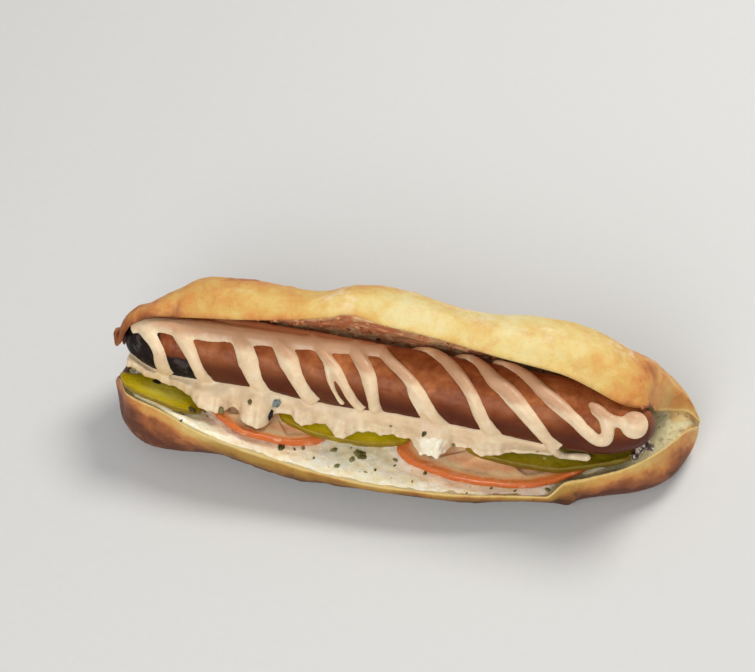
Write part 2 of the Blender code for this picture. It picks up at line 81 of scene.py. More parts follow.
# Each strand of sauce: width, then (x, angle from the sausage's top towards its front) pairs
STRANDS = (
    (6.4, ((-95, 15), (-83, 12), (-71, 9), (-50, 2), (-29, -6), (-8, -14))),
    (5.4, ((-91.4, 12), (-90, 24), (-84.8, 57), (-82, 104))),
    (5.4, ((-80, 6), (-78.5, 20), (-73, 52), (-67.5, 108))),
    (6.6, ((-58, 2), (-56.6, 18), (-53, 45), (-47.5, 104))),
    (5.8, ((-45, -4), (-43.7, 6), (-38.5, 38), (-30, 106))),
    (3.6, ((-33, -20), (-29.2, 5), (-21, 44), (-12.5, 104))),
    (1.9, ((-26.5, 30), (-19, 100))),
    (5.2, ((-18, -22), (-15.7, 3), (-10.4, 41), (-7, 104))),
    (4.6, ((-9, -22), (-4.9, 2), (4.4, 37), (15.5, 106))),
    (2.2, ((2.5, 38), (10.5, 104))),
    (5.2, ((13, -24), (17.9, 0), (25, 39), (33, 104))),
    (5.2, ((27, -20), (31, 2), (36, 19), (45.7, 60), (55, 112))),
    (4.5, ((44, -8), (49, 12), (59.1, 44), (66.6, 71), (69.2, 77), (71.3, 72), (71.4, 56), (69.8, 36),
           (66, 22))),
    (4.2, ((64.0, 15), (67.0, 24), (72, 36), (79, 38))),
)
UNDER_LID = -55.0  # degrees by which a stripe that starts near the top runs on behind it
STRAND_HEIGHT = 1.7
SAUCE_GRAIN = 0.5  # cell size with which the strands, the drop and the run-off are fused
BLOB = (79.8, 38.0, 4.7)  # x, angle, radius of the drop where the drizzle ends
BLOB_RISE = 3.1  # from its middle to its top

# ---- The thick run-off below the strands
BAND_LEFT, BAND_RIGHT, BAND_RINGS = -96.0, 54.0, 190
BAND_Y = ((-96, -11.5), (-80, -14), (-60, -16), (-40, -15.6), (-10, -17), (34, -17.6), (56, -15.2))
BAND_TOP = ((-96, 96), (-80, 112), (-47, 101), (-33, 114), (-17, 112), (0, 100), (34, 104), (56, 126))
DRIPS = ((-66, 5.4, 6.5), (-49, 8.3, 5.5), (-32.5, 3.4, 4.5), (-19, 4.6, 4.5), (12.5, 6.2, 6.0),
         (31, 2.2, 5.0))  # x, how far it reaches past the front edge, half width

# ---- Slices: centre x and y, half length, half depth, turn in degrees, height over the crumb, thickness
SLICES = {
    "pickle_left": (-82.5, -16.0, 15.0, 7.9, -3.0, 1.8, 2.6),
    "pickle_middle": (-18.5, -12.4, 25.0, 8.4, 0.0, 5.7, 2.7),
    "pickle_right": (52.0, -11.6, 30.0, 8.2, 1.0, 5.75, 2.7),
    "tomato_left": (-45.0, -11.0, 22.5, 14.8, -1.0, 1.8, 3.2),
    "tomato_right": (33.5, -9.8, 35.0, 18.2, 3.0, 1.8, 3.2),
}
SPREAD_THICKNESS = 1.3
SPREAD_LEFT, SPREAD_RIGHT = -95.0, 72.0

# Herb scraps that show singly: x, y, z, radius, and how pale they are; zero is the usual green
SCRAPS = (
    (-38.8, -25.9, 17.2, 1.5, -0.10), (-31.7, -23.1, 15.3, 0.9, 0.05), (-21.3, -20.7, 13.5, 1.3, 0.0),
    (-12.1, -20.7, 12.8, 2.3, 0.0), (-14.5, -23.0, 12.8, 1.2, 0.06), (-18.7, -28.3, 15.0, 1.1, 0.05),
    (0.2, -20.3, 12.4, 0.9, 0.0), (11.4, -24.2, 12.8, 0.9, -0.05), (54.0, -24.0, 13.5, 1.0, 0.05),
    (-27.0, -27.5, 16.2, 0.6, 0.1), (-5.5, -27.0, 14.0, 0.6, 0.0), (-50.9, -18.2, 30.4, 1.0, -0.02),
    (-61.0, -19.5, 25.0, 1.5, 0.04), (-42.5, -15.6, 28.4, 2.0, 0.34), (-43.9, -18.4, 25.2, 1.7, -0.4),
    (-71.0, -21.2, 25.1, 1.4, -0.22), (-85.8, -11.8, 25.7, 1.4, -0.4), (10.1, -20.2, 29.5, 1.0, -0.1),
    (20.5, -20.5, 26.0, 0.9, 0.02), (-2.0, -17.0, 27.0, 0.6, 0.05),
)
FROM_FRONT = (0.12, -0.63, 0.77)  # direction from which the scraps are dropped on what is there
DROP_FROM = 30.0  # and how far out they start

# The casing's twisted end: two short stems of (x, y, z, radius) points
KNOT = (
    ((84.4, -9.6, 31.2, 1.3), (83.4, -12.4, 30.0, 1.7), (82.2, -13.7, 28.3, 0.9),
     (81.5, -14.3, 26.9, 1.5), (81.0, -14.5, 25.4, 0.5)),
    ((84.6, -10.6, 30.6, 1.0), (86.0, -11.6, 29.5, 1.4), (87.6, -12.0, 28.6, 0.5)),
)
# The stripe that runs off the sausage and on over the right gherkin slice, as (x, y, z, radius) points
RUNAWAY = ((52.5, -18.8, 32.0, 1.7), (54.5, -18.6, 29.0, 1.6), (56.8, -17.0, 24.9, 1.5),
           (59.5, -15.6, 22.9, 1.3), (62.8, -15.6, 23.5, 1.4), (65.6, -16.0, 24.3, 1.5),
           (66.6, -16.2, 24.4, 0.9), (67.1, -16.3, 24.4, 0.3))


# ---------------------------------------------------------------- helpers


def smooth(low, high, x):
    """0 below low, 1 above high, with a smooth rise between."""
    t = np.clip((np.asarray(x, float) - low) / (high - low), 0.0, 1.0)
    return t * t * (3.0 - 2.0 * t)


def mix(a, b, share):
    return a + (b - a) * share


def bell(x, centre, half_width):
    return np.exp(-(((x - centre) / half_width) ** 2))


def along(x, points):
    """A smooth curve through (x, value) points that doesn't overshoot; level beyond the ends."""
    px, value = np.array(points, float).T
    step = np.diff(px)
    rise = np.diff(value) / step
    slope = np.zeros(len(px))
    product = rise[:-1] * rise[1:]
    slope[1:-1] = np.where(product > 0, 2 * product / np.where(product > 0, rise[:-1] + rise[1:], 1), 0)
    slope[0], slope[-1] = rise[0], rise[-1]
    x = np.clip(x, px[0], px[-1])
    k = np.clip(np.searchsorted(px, x) - 1, 0, len(step) - 1)
    t = (x - px[k]) / step[k]
    return (value[k] * (1 + 2 * t) * (1 - t) ** 2 + value[k + 1] * t * t * (3 - 2 * t)
            + step[k] * (slope[k] * t * (1 - t) ** 2 + slope[k + 1] * t * t * (t - 1)))


def lattice(cell, seed):
    """A repeatable value from -1 to 1 for each whole-number cell."""
    c = cell.astype(np.int64)
    n = (c[..., 0] * 73856093) ^ (c[..., 1] * 19349663) ^ (c[..., 2] * 83492791) ^ (seed * 26544357)
    n = ((n ^ (n >> 13)) * 1274126177) & 0x7FFFFFFF
    n = n ^ (n >> 15)
    return (n & 0xFFFF) / 32767.5 - 1.0


def lumps(points, size, seed):
    """Smooth noise from -1 to 1 with lumps about this many millimetres wide."""
    p = np.asarray(points, float) / size
    base = np.floor(p)
    f = p - base
    f = f * f * (3 - 2 * f)
    total = 0.0
    for corner in itertools.product((0, 1), repeat=3):
        weight = np.prod(np.where(np.array(corner) == 1, f, 1 - f), axis=-1)
        total = total + weight * lattice(base + np.array(corner), seed)
    return total


def spline(points, count):
    """count + 1 points spread evenly along a smooth curve through the given ones."""
    p = np.array(points, float)
    p = np.vstack([2 * p[0] - p[1], p, 2 * p[-1] - p[-2]])
    t = np.linspace(0.0, 1.0, 25)[:-1, None]
    pieces = []
    for a, b, c, d in zip(p, p[1:], p[2:], p[3:]):
        pieces.append(0.5 * (2 * b + (c - a) * t + (2 * a - 5 * b + 4 * c - d) * t**2
                             + (3 * b - a - 3 * c + d) * t**3))
    line = np.vstack([*pieces, p[-2][None]])
    length = np.concatenate([[0.0], np.cumsum(np.linalg.norm(np.diff(line, axis=0), axis=1))])
    wanted = np.linspace(0.0, length[-1], count + 1)
    return np.stack([np.interp(wanted, length, line[:, k]) for k in range(line.shape[1])], axis=1)


def mark(obj, **attributes):
    """Stores one number a point under each name."""
    for key, values in attributes.items():
        obj.data.attributes.new(key, "FLOAT", "POINT").data.foreach_set(
            "value", np.ascontiguousarray(values, np.float32))


def quads_between(rows, n):
    """Quads that join each ring of n points to the next one, ring by ring."""
    grid = np.arange(rows * n).reshape(rows, n)
    nxt = np.roll(grid, -1, axis=1)
    return np.stack([grid[:-1], nxt[:-1], nxt[1:], grid[1:]], axis=-1).reshape(-1, 4).tolist()


def lathe(rings, first, last):
    """Closed mesh through equal rings of points, with a point at each end."""
    rows, n = len(rings), len(rings[0])
    verts = np.vstack([np.reshape(rings, (-1, 3)), [first], [last]])
    caps = [(rows * n, (i + 1) % n, i) for i in range(n)]
    start = (rows - 1) * n
    caps += [(rows * n + 1, start + i, start + (i + 1) % n) for i in range(n)]
    return verts, quads_between(rows, n) + caps


def make_piece(name, verts, faces, material=None, **attributes):
    """An object at the origin from points in millimetres, with one number a point for each attribute."""
    mesh = bpy.data.meshes.new(name)
    mesh.from_pydata((np.asarray(verts, float) * MM).tolist(), [], faces)
    mesh.validate()
    mesh.update()
    mesh.shade_smooth()
    if material:
        mesh.materials.append(material)
    obj = bpy.data.objects.new(name, mesh)
    bpy.context.scene.collection.objects.link(obj)
    mark(obj, **attributes)
    return obj


def points_of(obj):
    co = np.empty(len(obj.data.vertices) * 3, np.float32)
    obj.data.vertices.foreach_get("co", co)
    return co.reshape(-1, 3).astype(float) / MM


def normals_of(obj):
    normal = np.empty(len(obj.data.vertices) * 3, np.float32)
    obj.data.vertices.foreach_get("normal", normal)
    return normal.reshape(-1, 3).astype(float)


def move_points(obj, points):
    obj.data.vertices.foreach_set("co", np.ascontiguousarray(points * MM, np.float32).reshape(-1))
    obj.data.update()


def swell(obj, height):
    """Moves each point along its normal by so many millimetres."""
    move_points(obj, points_of(obj) + normals_of(obj) * np.asarray(height)[:, None])


# ---------------------------------------------------------------- shape of the roll and the sausage


def dish(x, y):
    """Height of the base's cut face, which the fillings press down."""
    y0, z0 = along(x, LIP_Y), along(x, LIP_Z)
    y1, z1 = along(x, ROOT_Y), along(x, ROOT_Z)
    w = np.clip((y - y0) / np.maximum(y1 - y0, 1e-3), 0.0, 1.0)
    return mix(z0, z1, w) - along(x, DISH_DEPTH) * (4.0 * w * (1.0 - w)) ** 0.85


def axis(x):
    share = (x - SAUSAGE_LEFT) / (SAUSAGE_RIGHT - SAUSAGE_LEFT)
    return np.stack([x, mix(*AXIS_Y, share), mix(*AXIS_Z, share)], axis=-1)


def sausage_radius(x):
    share = 1.0
    for (length, blunt), depth in zip(SAUSAGE_ENDS, (x - SAUSAGE_LEFT, SAUSAGE_RIGHT - x)):
        share = np.minimum(share, np.sqrt(1.0 - np.clip(1.0 - depth / length, 0.0, 1.0) ** blunt))
    return SAUSAGE_RADIUS * share


def on_sausage(x, degrees, extra=0.0):
    """A point over the skin; degrees count from the top towards the front."""
    a = np.radians(degrees)
    out = np.stack([np.zeros_like(a), -np.sin(a), np.cos(a)], axis=-1)
    return axis(x) + np.asarray(sausage_radius(x) + extra)[..., None] * out


BASE_STEPS, LID_STEPS = 76, 54
RING_STEPS = BASE_STEPS + LID_STEPS
STATIONS = 340
CROWDING = 0.88  # how much closer the stations lie at the tips: 0 even, 1 touching
KNOB, KNOB_HEIGHT = (-101.5, -3.5, 38.0), 0.8  # the lump in which the lid's left end curls down
HINGE_INSET = 7.0  # how far the hinge's left end lies inside the lid's and the base's
HINGE_SPREAD = 0.19  # the share of the ring over which that inset fades
LEFT_CRUST = 0.8  # least thickness of the lid's thin left end
CASING_STATIONS, CASING_SIDES = 420, 180
CASING_WRINKLES = (((0.35, 1, 1), 900.0, 0.45), ((2.2, 0.6, 0.6), 260.0, 0.9),
                   ((1, 1, 1), 90.0, 1.3))  # stretch, noise scale and weight
CORE = 0.45  # both faces of the bread close on this share of its thickness at the tips


def moved_out(x, points, wanted):
    """The same points, moved off the sausage's axis where they are nearer to it than wanted."""
    centre = axis(x)[..., 1:]
    off = points - centre
    distance = np.maximum(np.linalg.norm(off, axis=-1), 1e-6)
    return centre + off * np.maximum(1.0, wanted / distance)[..., None]


def pushed_clear(x, points, near_lip=1.0):
    """The same points, moved off the sausage where they are too near it. The lid's lip, which hangs
    over the sauce at the left, stays further away."""
    wanted = np.max([sausage_radius(x + d) for d in (-1.0, 0.0, 1.0)], axis=0)
    room = 0.9 + smooth(-50, -72, x) * mix(-0.5, 2.0, near_lip)
    return moved_out(x, points, wanted + room * np.minimum(1.0, wanted / 3.0))


def lid_tip(x):
    return pushed_clear(x, np.array([along(x, LID_Y), along(x, LID_Z)]))


def inner_line(x):
    """The crumb, from the base's lip down to the root of the cut and up to the lid's lip."""
    root = np.array([along(x, ROOT_Y), along(x, ROOT_Z)])
    tip = lid_tip(x)
    w = np.linspace(0.0, 1.0, BASE_STEPS + 1)
    y = mix(along(x, LIP_Y), root[0], w)
    base = np.stack([y, dish(x, y) + along(x, RIM_RISE) * np.maximum(0.0, 1.0 - w / RIM_WIDTH) ** 2], axis=1)
    s = np.linspace(0.0, 1.0, LID_STEPS + 1)[1:, None]
    run = tip - root
    length = max(np.linalg.norm(run), 1e-6)
    outward = np.array([run[1], -run[0]]) / length
    hollow = min(3.0 + 1.5 * float(smooth(-40.0, -85.0, x)), 0.12 * length + 0.1)
    return np.vstack([base, root + s * run + hollow * np.sin(math.pi * s) * outward])


def outer_line(x):
    """The crust, from the base's lip round the bottom and the back to the lid's lip."""
    y0, z0, y1 = along(x, LIP_Y), along(x, LIP_Z) + along(x, RIM_RISE), along(x, BACK_Y)
    belly, low = along(x, BELLY_Y), min(BELLY_Z, 0.5 * along(x, LIP_Z))
    width = y1 - belly
    root = np.array([along(x, ROOT_Y), along(x, ROOT_Z)])
    tip = lid_tip(x)
    run = tip - root
    length = max(np.linalg.norm(run), 1e-6)
    outward = mix(np.array([0.35, 0.94]), np.array([run[1], -run[0]]) / length, smooth(0.0, 28.0, length))
    thick = float(along(x, LID_THICKNESS))
    points = [
        (y0, z0),
        (mix(y0, belly, 0.45) - 0.9, mix(z0, low, 0.5)),
        (belly, low),
        (belly + 0.085 * width, 0.4 * low),
        (belly + 0.24 * width, 0.0),
        (belly + 0.5 * width, 0.0),
        (y1 - 0.24 * width, 0.0),
        (y1 - 0.06 * width, 0.30 * root[1]),
        (y1, 0.86 * root[1]),
        tuple(root + 0.28 * run + 0.98 * thick * outward),
        tuple(root + 0.66 * run + 1.0 * thick * outward),
        tuple(root + 0.94 * run + 0.58 * thick * outward),
        tuple(tip),
    ]
    line = spline(points, RING_STEPS)
    line[:, 1] = np.maximum(line[:, 1], 0.0)
    return line


def end_shares(x):
    """How much of the bread's thickness is left at x, on the crust's side and on the crumb's."""
    t = max(-(x + 86.0) / 16.5, (x - 78.0) / 24.5, 0.0)
    s = max(-(x + 97.5) / 5.0, (x - 97.0) / 5.5, 0.0)
    return 0.03 + 0.97 * math.sqrt(max(1 - t**2.3, 0)), 0.03 + 0.97 * math.sqrt(max(1 - s * s, 0))


def section(x):
    inner, outer = inner_line(x), outer_line(x)
    core = mix(inner, outer, CORE)
    crust_share, crumb_share = end_shares(x)
    return mix(core, outer, crust_share), mix(core, inner, crumb_share)


def ring_at(x):
    """A closed ring of points round the bread near x: the crust, then back along the crumb."""
    step = np.arange(RING_STEPS + 1)
    lid = (step - BASE_STEPS) / LID_STEPS  # 0 at the hinge, 1 at the lid's lip
    fading = np.exp(-(((step - BASE_STEPS) / (HINGE_SPREAD * RING_STEPS)) ** 2))
    places = x + HINGE_INSET * smooth(-84.0, LEFT_TIP, x) * fading
    outer, inner = section(x)
    inner = pushed_clear(places, inner, smooth(0.6, 0.95, lid))
    if x < -70:
        crust = LEFT_CRUST * smooth(-70.0, -84.0, x) * smooth(LEFT_TIP, -101.0, x)
        crust = crust * smooth(0.05, 0.25, lid) * smooth(1.0, 0.85, lid)
        wanted = crust + np.linalg.norm(inner - axis(places)[:, 1:], axis=1)
        outer = np.where(lid[:, None] > 0, moved_out(places, outer, wanted), outer)
    for end in (0, -1):
        outer[end] = inner[end] = mix(outer[end], inner[end], 0.5)
    return np.vstack([np.column_stack([places, outer]),
                      np.column_stack([places[-2:0:-1], inner[-2:0:-1]])])


def lip_distance(ring):
    """How far each point of the ring is from the nearer lip, along the skin."""
    run = np.linalg.norm(np.diff(np.vstack([ring, ring[:1]]), axis=0), axis=1)
    reach = np.concatenate([[0.0], np.cumsum(run)[:-1]])
    to_base = np.minimum(reach, run.sum() - reach)
    return np.minimum(to_base, np.abs(reach - reach[RING_STEPS]))


def roll_faces(n):
    """Quads between the rings, and a strip of them that closes each tip."""
    faces = quads_between(STATIONS, n)
    for start, turn in ((0, -1), ((STATIONS - 1) * n, 1)):
        for i in range(RING_STEPS):
            face = [start + i, start + i + 1, start + (n - i - 1) % n, start + (n - i) % n]
            face = [v for k, v in enumerate(face) if v != face[k - 1]]
            faces.append(tuple(face[::turn]))
    return faces


def bread_relief(points, lip, crumb):
    """Crust: broad dents and small blisters. Crumb: torn, with pores."""
    crust = 0.45 * lumps(points, 17, 1) + 0.22 * lumps(points, 7.5, 2) + 0.10 * lumps(points, 3.1, 3)
    crust += 0.25 * smooth(0.45, 0.8, lumps(points, 4.3, 4))
    torn = 0.35 * lumps(points, 5.0, 5) + 0.25 * lumps(points, 2.2, 6) - 0.35
    torn -= 0.5 * smooth(0.4, 0.8, lumps(points, 2.7, 7))
    torn -= 0.3 * smooth(0.35, 0.75, lumps(points, 1.7, 8))
    relief = np.where(crumb > 0.5, torn, crust) * smooth(0.0, 3.0, lip)
    return relief * smooth(101.5, 97.0, np.abs(points[:, 0]))


def baked(points, lip, from_knob):
    """How brown each place is, 0 pale to 1 brown, as a sum of causes, some of them painted shade."""
    x, y, z = points.T
    front = smooth(12.0, 0.0, y)
    low = front * (0.35 * smooth(3.0, 7.0, lip) + 0.65 * smooth(19.0, 5.0, z)) * smooth(34.0, 28.0, z)
    on_lid, lid_top = smooth(34, 42, z), smooth(30, 50, z)
    causes = (
        (0.32, np.maximum(smooth(-62, -100, x), 0.9 * smooth(62, 98, x))),  # both tips
        (0.16, smooth(12.0, 34.0, y)),  # the back
        # The base's front: real browning, and painted shade where it turns under
        (0.50, low),  # the base's front
        (0.22, low * smooth(-40, -75, x)),
        (0.32, low * bell(x, -64, 11)),
        (0.12, low * bell(x, 70, 12)),
        # Painted shade on the base's lower front, darkest next to the floor
        (0.26, front * smooth(12.5, 8.0, z) * smooth(-70, -45, x) * smooth(100, 80, x)),
        (0.30, front * smooth(6.5, 1.5, z)),
        (0.10, smooth(-66, -88, x)),  # more at the left end than at the right
        (-0.14, smooth(76, 90, x)),
        (0.10, lid_top * bell(x, -62, 5.5)),  # patches on the lid
        (0.16, lid_top * bell(x, -55, 30) * smooth(6, 16, y)),
        (0.10, on_lid * bell(x, -35, 18)),
        (-0.20, on_lid * bell(x, 45, 14)),
        (0.09, on_lid * smooth(55, 68, x)),
        (0.02, on_lid),
        # Painted light: paler on top of the lid's middle, where it is lit most
        (-0.14, bell(x, 5, 45) * smooth(38, 50, z) * smooth(22, 5, y)),
        (0.10, smooth(2.4, 0.6, lip) * smooth(30, 38, z)),  # the lid's lip
        (0.06, bell(from_knob, 0.0, 7.0)),
        (0.10, lumps(points, 21, 9)),
        (0.07, lumps(points, 8, 10)),
    )
    return 0.24 + sum(weight * where for weight, where in causes)


def bread_shares(points, lip, crumb):
    """Floury crust with painted highlight, golden crust, crumb stained with painted shade, toasted crumb;
    strew is for loose crumbs.
    """
    x, y, z = points.T
    # Floury dusting on the lid's upper back, with a painted highlight where the light catches it
    flour = smooth(0.1, 0.6, lumps(points * (1, 1.6, 1.6), 12, 11) + 0.25)
    flour = flour * smooth(30.0, 46.0, z) * smooth(-2, 14, y)
    # Under the lid the crumb is stained by sauce, and darkened there as painted shade
    stain = smooth(24, 34, z) * smooth(-12, -4, y + 0.1 * z) * smooth(96, 86, x) * smooth(-96, -88, x)
    golden = smooth(0.6, 2.4, lip) * smooth(26, 20, z) * smooth(12.0, 0.0, y)
    golden = golden * smooth(-72, -58, x) * smooth(75, 55, x)
    toast = smooth(57, 62, x) * smooth(7.5, 1.5, lip) * smooth(34, 28, z)
    return {"flour": flour, "stain": stain, "golden": golden, "toast": toast,
            "strew": crumb * stain * smooth(-95, -85, x)}


def build_roll(material):
    """The bread as one closed skin: the crust outside, the crumb on the two cut faces."""
    turn = math.pi / 2 * CROWDING
    stations = RIGHT_TIP * np.sin(np.linspace(-turn, turn, STATIONS)) / math.sin(turn)
    rings = [ring_at(x) for x in stations]
    points = np.vstack(rings)
    lip = np.concatenate([lip_distance(ring) for ring in rings])
    n = len(rings[0])
    crumb = np.tile(np.where(np.arange(n) > RING_STEPS, 1.0, 0.0), STATIONS)
    torn_open = crumb * np.where(points[:, 2] > 30, smooth(0.8, 2.0, lip), 1.0)
    torn_open *= np.repeat(smooth(-99.5, -95.5, stations), n) * smooth(102.4, 101.0, points[:, 0])
    roll = make_piece("bread_roll", points, roll_faces(n), material, lip=lip, crumb=torn_open)
    from_knob = np.linalg.norm((points - KNOB) / (1.0, 1.2, 1.5), axis=1)
    knob = KNOB_HEIGHT * bell(from_knob, 0.0, 5.0) * np.where(crumb > 0.5, 0.1, 1.0)
    swell(roll, bread_relief(points, lip, crumb) + knob * (1.0 + 0.35 * lumps(points, 3.0, 12)))
    moved = points_of(roll)
    moved[:, 2] = np.maximum(moved[:, 2], 0.0)
    move_points(roll, moved)
    mark(roll, bake=baked(points, lip, from_knob), **bread_shares(points, lip, crumb))
    return roll


# ---------------------------------------------------------------- Geometry Nodes


class Tree:
    """A node tree with named inputs; add() makes a node and plugs values or sockets into it."""

    def __init__(self, name, **inputs):
        self.group = bpy.data.node_groups.new(name, "GeometryNodeTree")
        face = self.group.interface
        face.new_socket("Geometry", in_out="INPUT", socket_type="NodeSocketGeometry")
        self.identifiers = {}
        for key, (kind, value) in inputs.items():
            socket = face.new_socket(key, in_out="INPUT", socket_type="NodeSocket" + kind)
            if value is not None:
                socket.default_value = value
            self.identifiers[key] = socket.identifier
        face.new_socket("Geometry", in_out="OUTPUT", socket_type="NodeSocketGeometry")
        self.inputs = self.group.nodes.new("NodeGroupInput").outputs

    def add(self, kind, sockets=(), **settings):
        node = self.group.nodes.new(kind)
        for key, value in settings.items():
            setattr(node, key, value)
        for key, value in dict(sockets).items():
            socket = node.inputs[key]
            if isinstance(value, bpy.types.NodeSocket):
                self.group.links.new(value, socket)
            else:
                socket.default_value = value
        return node.outputs

    def calc(self, operation, a, b=0.0, c=0.0):
        return self.add("ShaderNodeMath", {0: a, 1: b, 2: c}, operation=operation)["Value"]

    def vector(self, operation, a, b):
        return self.add("ShaderNodeVectorMath", {0: a, 1: b}, operation=operation)["Vector"]

    def scaled(self, vector, factor):
        return self.add("ShaderNodeVectorMath", {0: vector, "Scale": factor}, operation="SCALE")["Vector"]

    def given(self, name, kind="FLOAT"):
        return self.add("GeometryNodeInputNamedAttribute", {"Name": name}, data_type=kind)["Attribute"]

    def here(self):
        return self.add("GeometryNodeInputPosition")["Position"]

    def noise(self, place, scale, detail):
        return self.add("ShaderNodeTexNoise", {"Vector": place, "Scale": scale, "Detail": detail})

    def tube(self, line, sides, radius):
        """A closed tube along the line."""
        ring = self.add("GeometryNodeCurvePrimitiveCircle", {"Resolution": sides, "Radius": 1.0})["Curve"]
        return self.add("GeometryNodeCurveToMesh", {"Curve": line, "Profile Curve": ring, "Scale": radius,
                                                    "Fill Caps": True})["Mesh"]

    def finish(self, geometry, material):
        real = self.add("GeometryNodeRealizeInstances", {"Geometry": geometry})["Geometry"]
        round_off = self.add("GeometryNodeSetShadeSmooth", {"Geometry": real})["Geometry"]
        made = self.add("GeometryNodeSetMaterial", {"Geometry": round_off, "Material": material})["Geometry"]
        out = self.group.nodes.new("NodeGroupOutput")
        self.group.links.new(made, out.inputs["Geometry"])

    def run(self, obj, **values):
        """Runs the tree on the object and keeps the result as its mesh."""
        modifier = obj.modifiers.new(self.group.name, "NODES")
        modifier.node_group = self.group
        for key, value in values.items():
            modifier[self.identifiers[key]] = value
        return mesh_from(obj)


def copy_of(obj, name):
    copy = bpy.data.objects.new(name, obj.data.copy())
    bpy.context.scene.collection.objects.link(copy)
    return copy


def mesh_from(obj):
    """A plain mesh object of the same name from what the modifiers make; the first object goes."""
    graph = bpy.context.evaluated_depsgraph_get()
    mesh = bpy.data.meshes.new_from_object(obj.evaluated_get(graph))
    name = obj.name
    bpy.data.objects.remove(obj)
    made = bpy.data.objects.new(name, mesh)
    made.name = mesh.name = name
    bpy.context.scene.collection.objects.link(made)
    return made


def sausage_tree():
    """A casing round a straight line: rounded ends of given length and bluntness, then fine wrinkles."""
    tree = Tree("casing", Left=("Vector", None), Right=("Vector", None), Radius=("Float", 0.012),
                LeftEnd=("Float", 0.1), LeftBlunt=("Float", 2.5), RightEnd=("Float", 0.1),
                RightBlunt=("Float", 2.5), Wrinkle=("Float", 0.0002), Material=("Material", None))
    put = tree.inputs
    line = tree.add("GeometryNodeCurvePrimitiveLine", {"Start": put["Left"], "End": put["Right"]})["Curve"]
    line = tree.add("GeometryNodeResampleCurve", {"Curve": line, "Count": CASING_STATIONS})["Curve"]
    # The stations crowd towards both ends, where the casing closes
    factor = tree.add("GeometryNodeSplineParameter")["Factor"]
    turn = tree.calc("MULTIPLY", tree.calc("SUBTRACT", factor, 0.5), math.pi)
    share = tree.calc("MULTIPLY_ADD", tree.calc("SINE", turn), 0.5, 0.5)
    line = tree.add("GeometryNodeStoreNamedAttribute", {"Geometry": line, "Name": "share", "Value": share},
                    data_type="FLOAT", domain="POINT")["Geometry"]
    share = tree.given("share")
    place = tree.add("ShaderNodeMix", {0: share, 4: put["Left"], 5: put["Right"]}, data_type="VECTOR")[1]
    line = tree.add("GeometryNodeSetPosition", {"Geometry": line, "Position": place})["Geometry"]
    radius = put["Radius"]
    for near, end, blunt in ((share, "LeftEnd", "LeftBlunt"),
                             (tree.calc("SUBTRACT", 1.0, share), "RightEnd", "RightBlunt")):
        depth = tree.calc("SUBTRACT", 1.0, tree.calc("DIVIDE", near, put[end]))
        power = tree.calc("POWER", tree.calc("MAXIMUM", depth, 0.0), put[blunt])
        width = tree.calc("SQRT", tree.calc("MAXIMUM", tree.calc("SUBTRACT", 1.0, power), 0.0))
        radius = tree.calc("MULTIPLY", radius, width)
    skin = tree.tube(line, CASING_SIDES, tree.calc("MAXIMUM", radius, 0.00002))
    here, wrinkles = tree.here(), 0.0
    for stretch, scale, weight in CASING_WRINKLES:
        fac = tree.noise(tree.vector("MULTIPLY", here, stretch), scale, 3.0)["Fac"]
        part = tree.calc("MULTIPLY", tree.calc("SUBTRACT", fac, 0.5), weight)
        wrinkles = tree.calc("ADD", part, wrinkles)
    normal = tree.add("GeometryNodeInputNormal")["Normal"]
    lift = tree.scaled(normal, tree.calc("MULTIPLY", wrinkles, put["Wrinkle"]))
    skin = tree.add("GeometryNodeSetPosition", {"Geometry": skin, "Offset": lift})["Geometry"]
    tree.finish(skin, put["Material"])
    return tree


def drizzle_tree():
    """Round strands of sauce along the curves it is given, as thick as each point's radius says."""
    tree = Tree("drizzle", Step=("Float", 0.0006), Sides=("Int", 14), Uneven=("Float", 0.12),
                Material=("Material", None))
    put = tree.inputs
    line = tree.add("GeometryNodeResampleCurve", {"Curve": put["Geometry"], "Length": put["Step"]},
                    mode="LENGTH")["Curve"]
    fac = tree.noise(tree.here(), 140.0, 1.0)["Fac"]
    swing = tree.calc("MULTIPLY", tree.calc("SUBTRACT", fac, 0.5), put["Uneven"])
    radius = tree.add("GeometryNodeInputRadius")["Radius"]
    radius = tree.calc("MULTIPLY", radius, tree.calc("ADD", swing, 1.0))
    tree.finish(tree.tube(line, put["Sides"], radius), put["Material"])
    return tree


def lay_scraps(tree, points, facing, lean, seed, narrow, size):
    """Lays a lumpy scrap at each point, flat across its facing but for a lean of so many radians,
    and spun at random."""
    scrap = tree.add("GeometryNodeMeshIcoSphere", {"Radius": 1.0, "Subdivisions": 3})["Mesh"]
    push = tree.vector("SUBTRACT", tree.noise(tree.here(), 1.4, 1.0)["Color"], (0.5, 0.5, 0.5))
    push = tree.scaled(push, 1.4)
    scrap = tree.add("GeometryNodeSetPosition", {"Geometry": scrap, "Offset": push})["Geometry"]
    spin = tree.add("FunctionNodeRandomValue", {0: (-lean, -lean, 0.0), 1: (lean, lean, 6.28), "Seed": seed},
                    data_type="FLOAT_VECTOR")[0]
    spin = tree.add("FunctionNodeEulerToRotation", {"Euler": spin})["Rotation"]
    turned = tree.add("FunctionNodeRotateRotation", {"Rotation": facing, "Rotate By": spin},
                      rotation_space="LOCAL")["Rotation"]
    flat = tree.add("ShaderNodeCombineXYZ", {"X": 1.0, "Y": narrow, "Z": tree.inputs["Flatness"]})["Vector"]
    laid = tree.add("GeometryNodeInstanceOnPoints", {"Points": points, "Instance": scrap, "Rotation": turned,
                                                     "Scale": tree.scaled(flat, size)})["Instances"]
    tree.finish(laid, tree.inputs["Material"])


def placed_tree():
    """A flat scrap at each point, as large as the point's size and lying across its up direction."""
    tree = Tree("placed_scraps", Flatness=("Float", 0.4), Seed=("Int", 3), Material=("Material", None))
    level = tree.add("FunctionNodeAlignRotationToVector", {"Vector": tree.given("up", "FLOAT_VECTOR")},
                     axis="Z")["Rotation"]
    lay_scraps(tree, tree.inputs["Geometry"], level, 0.15, tree.inputs["Seed"], 0.75, tree.given("size"))
    return tree


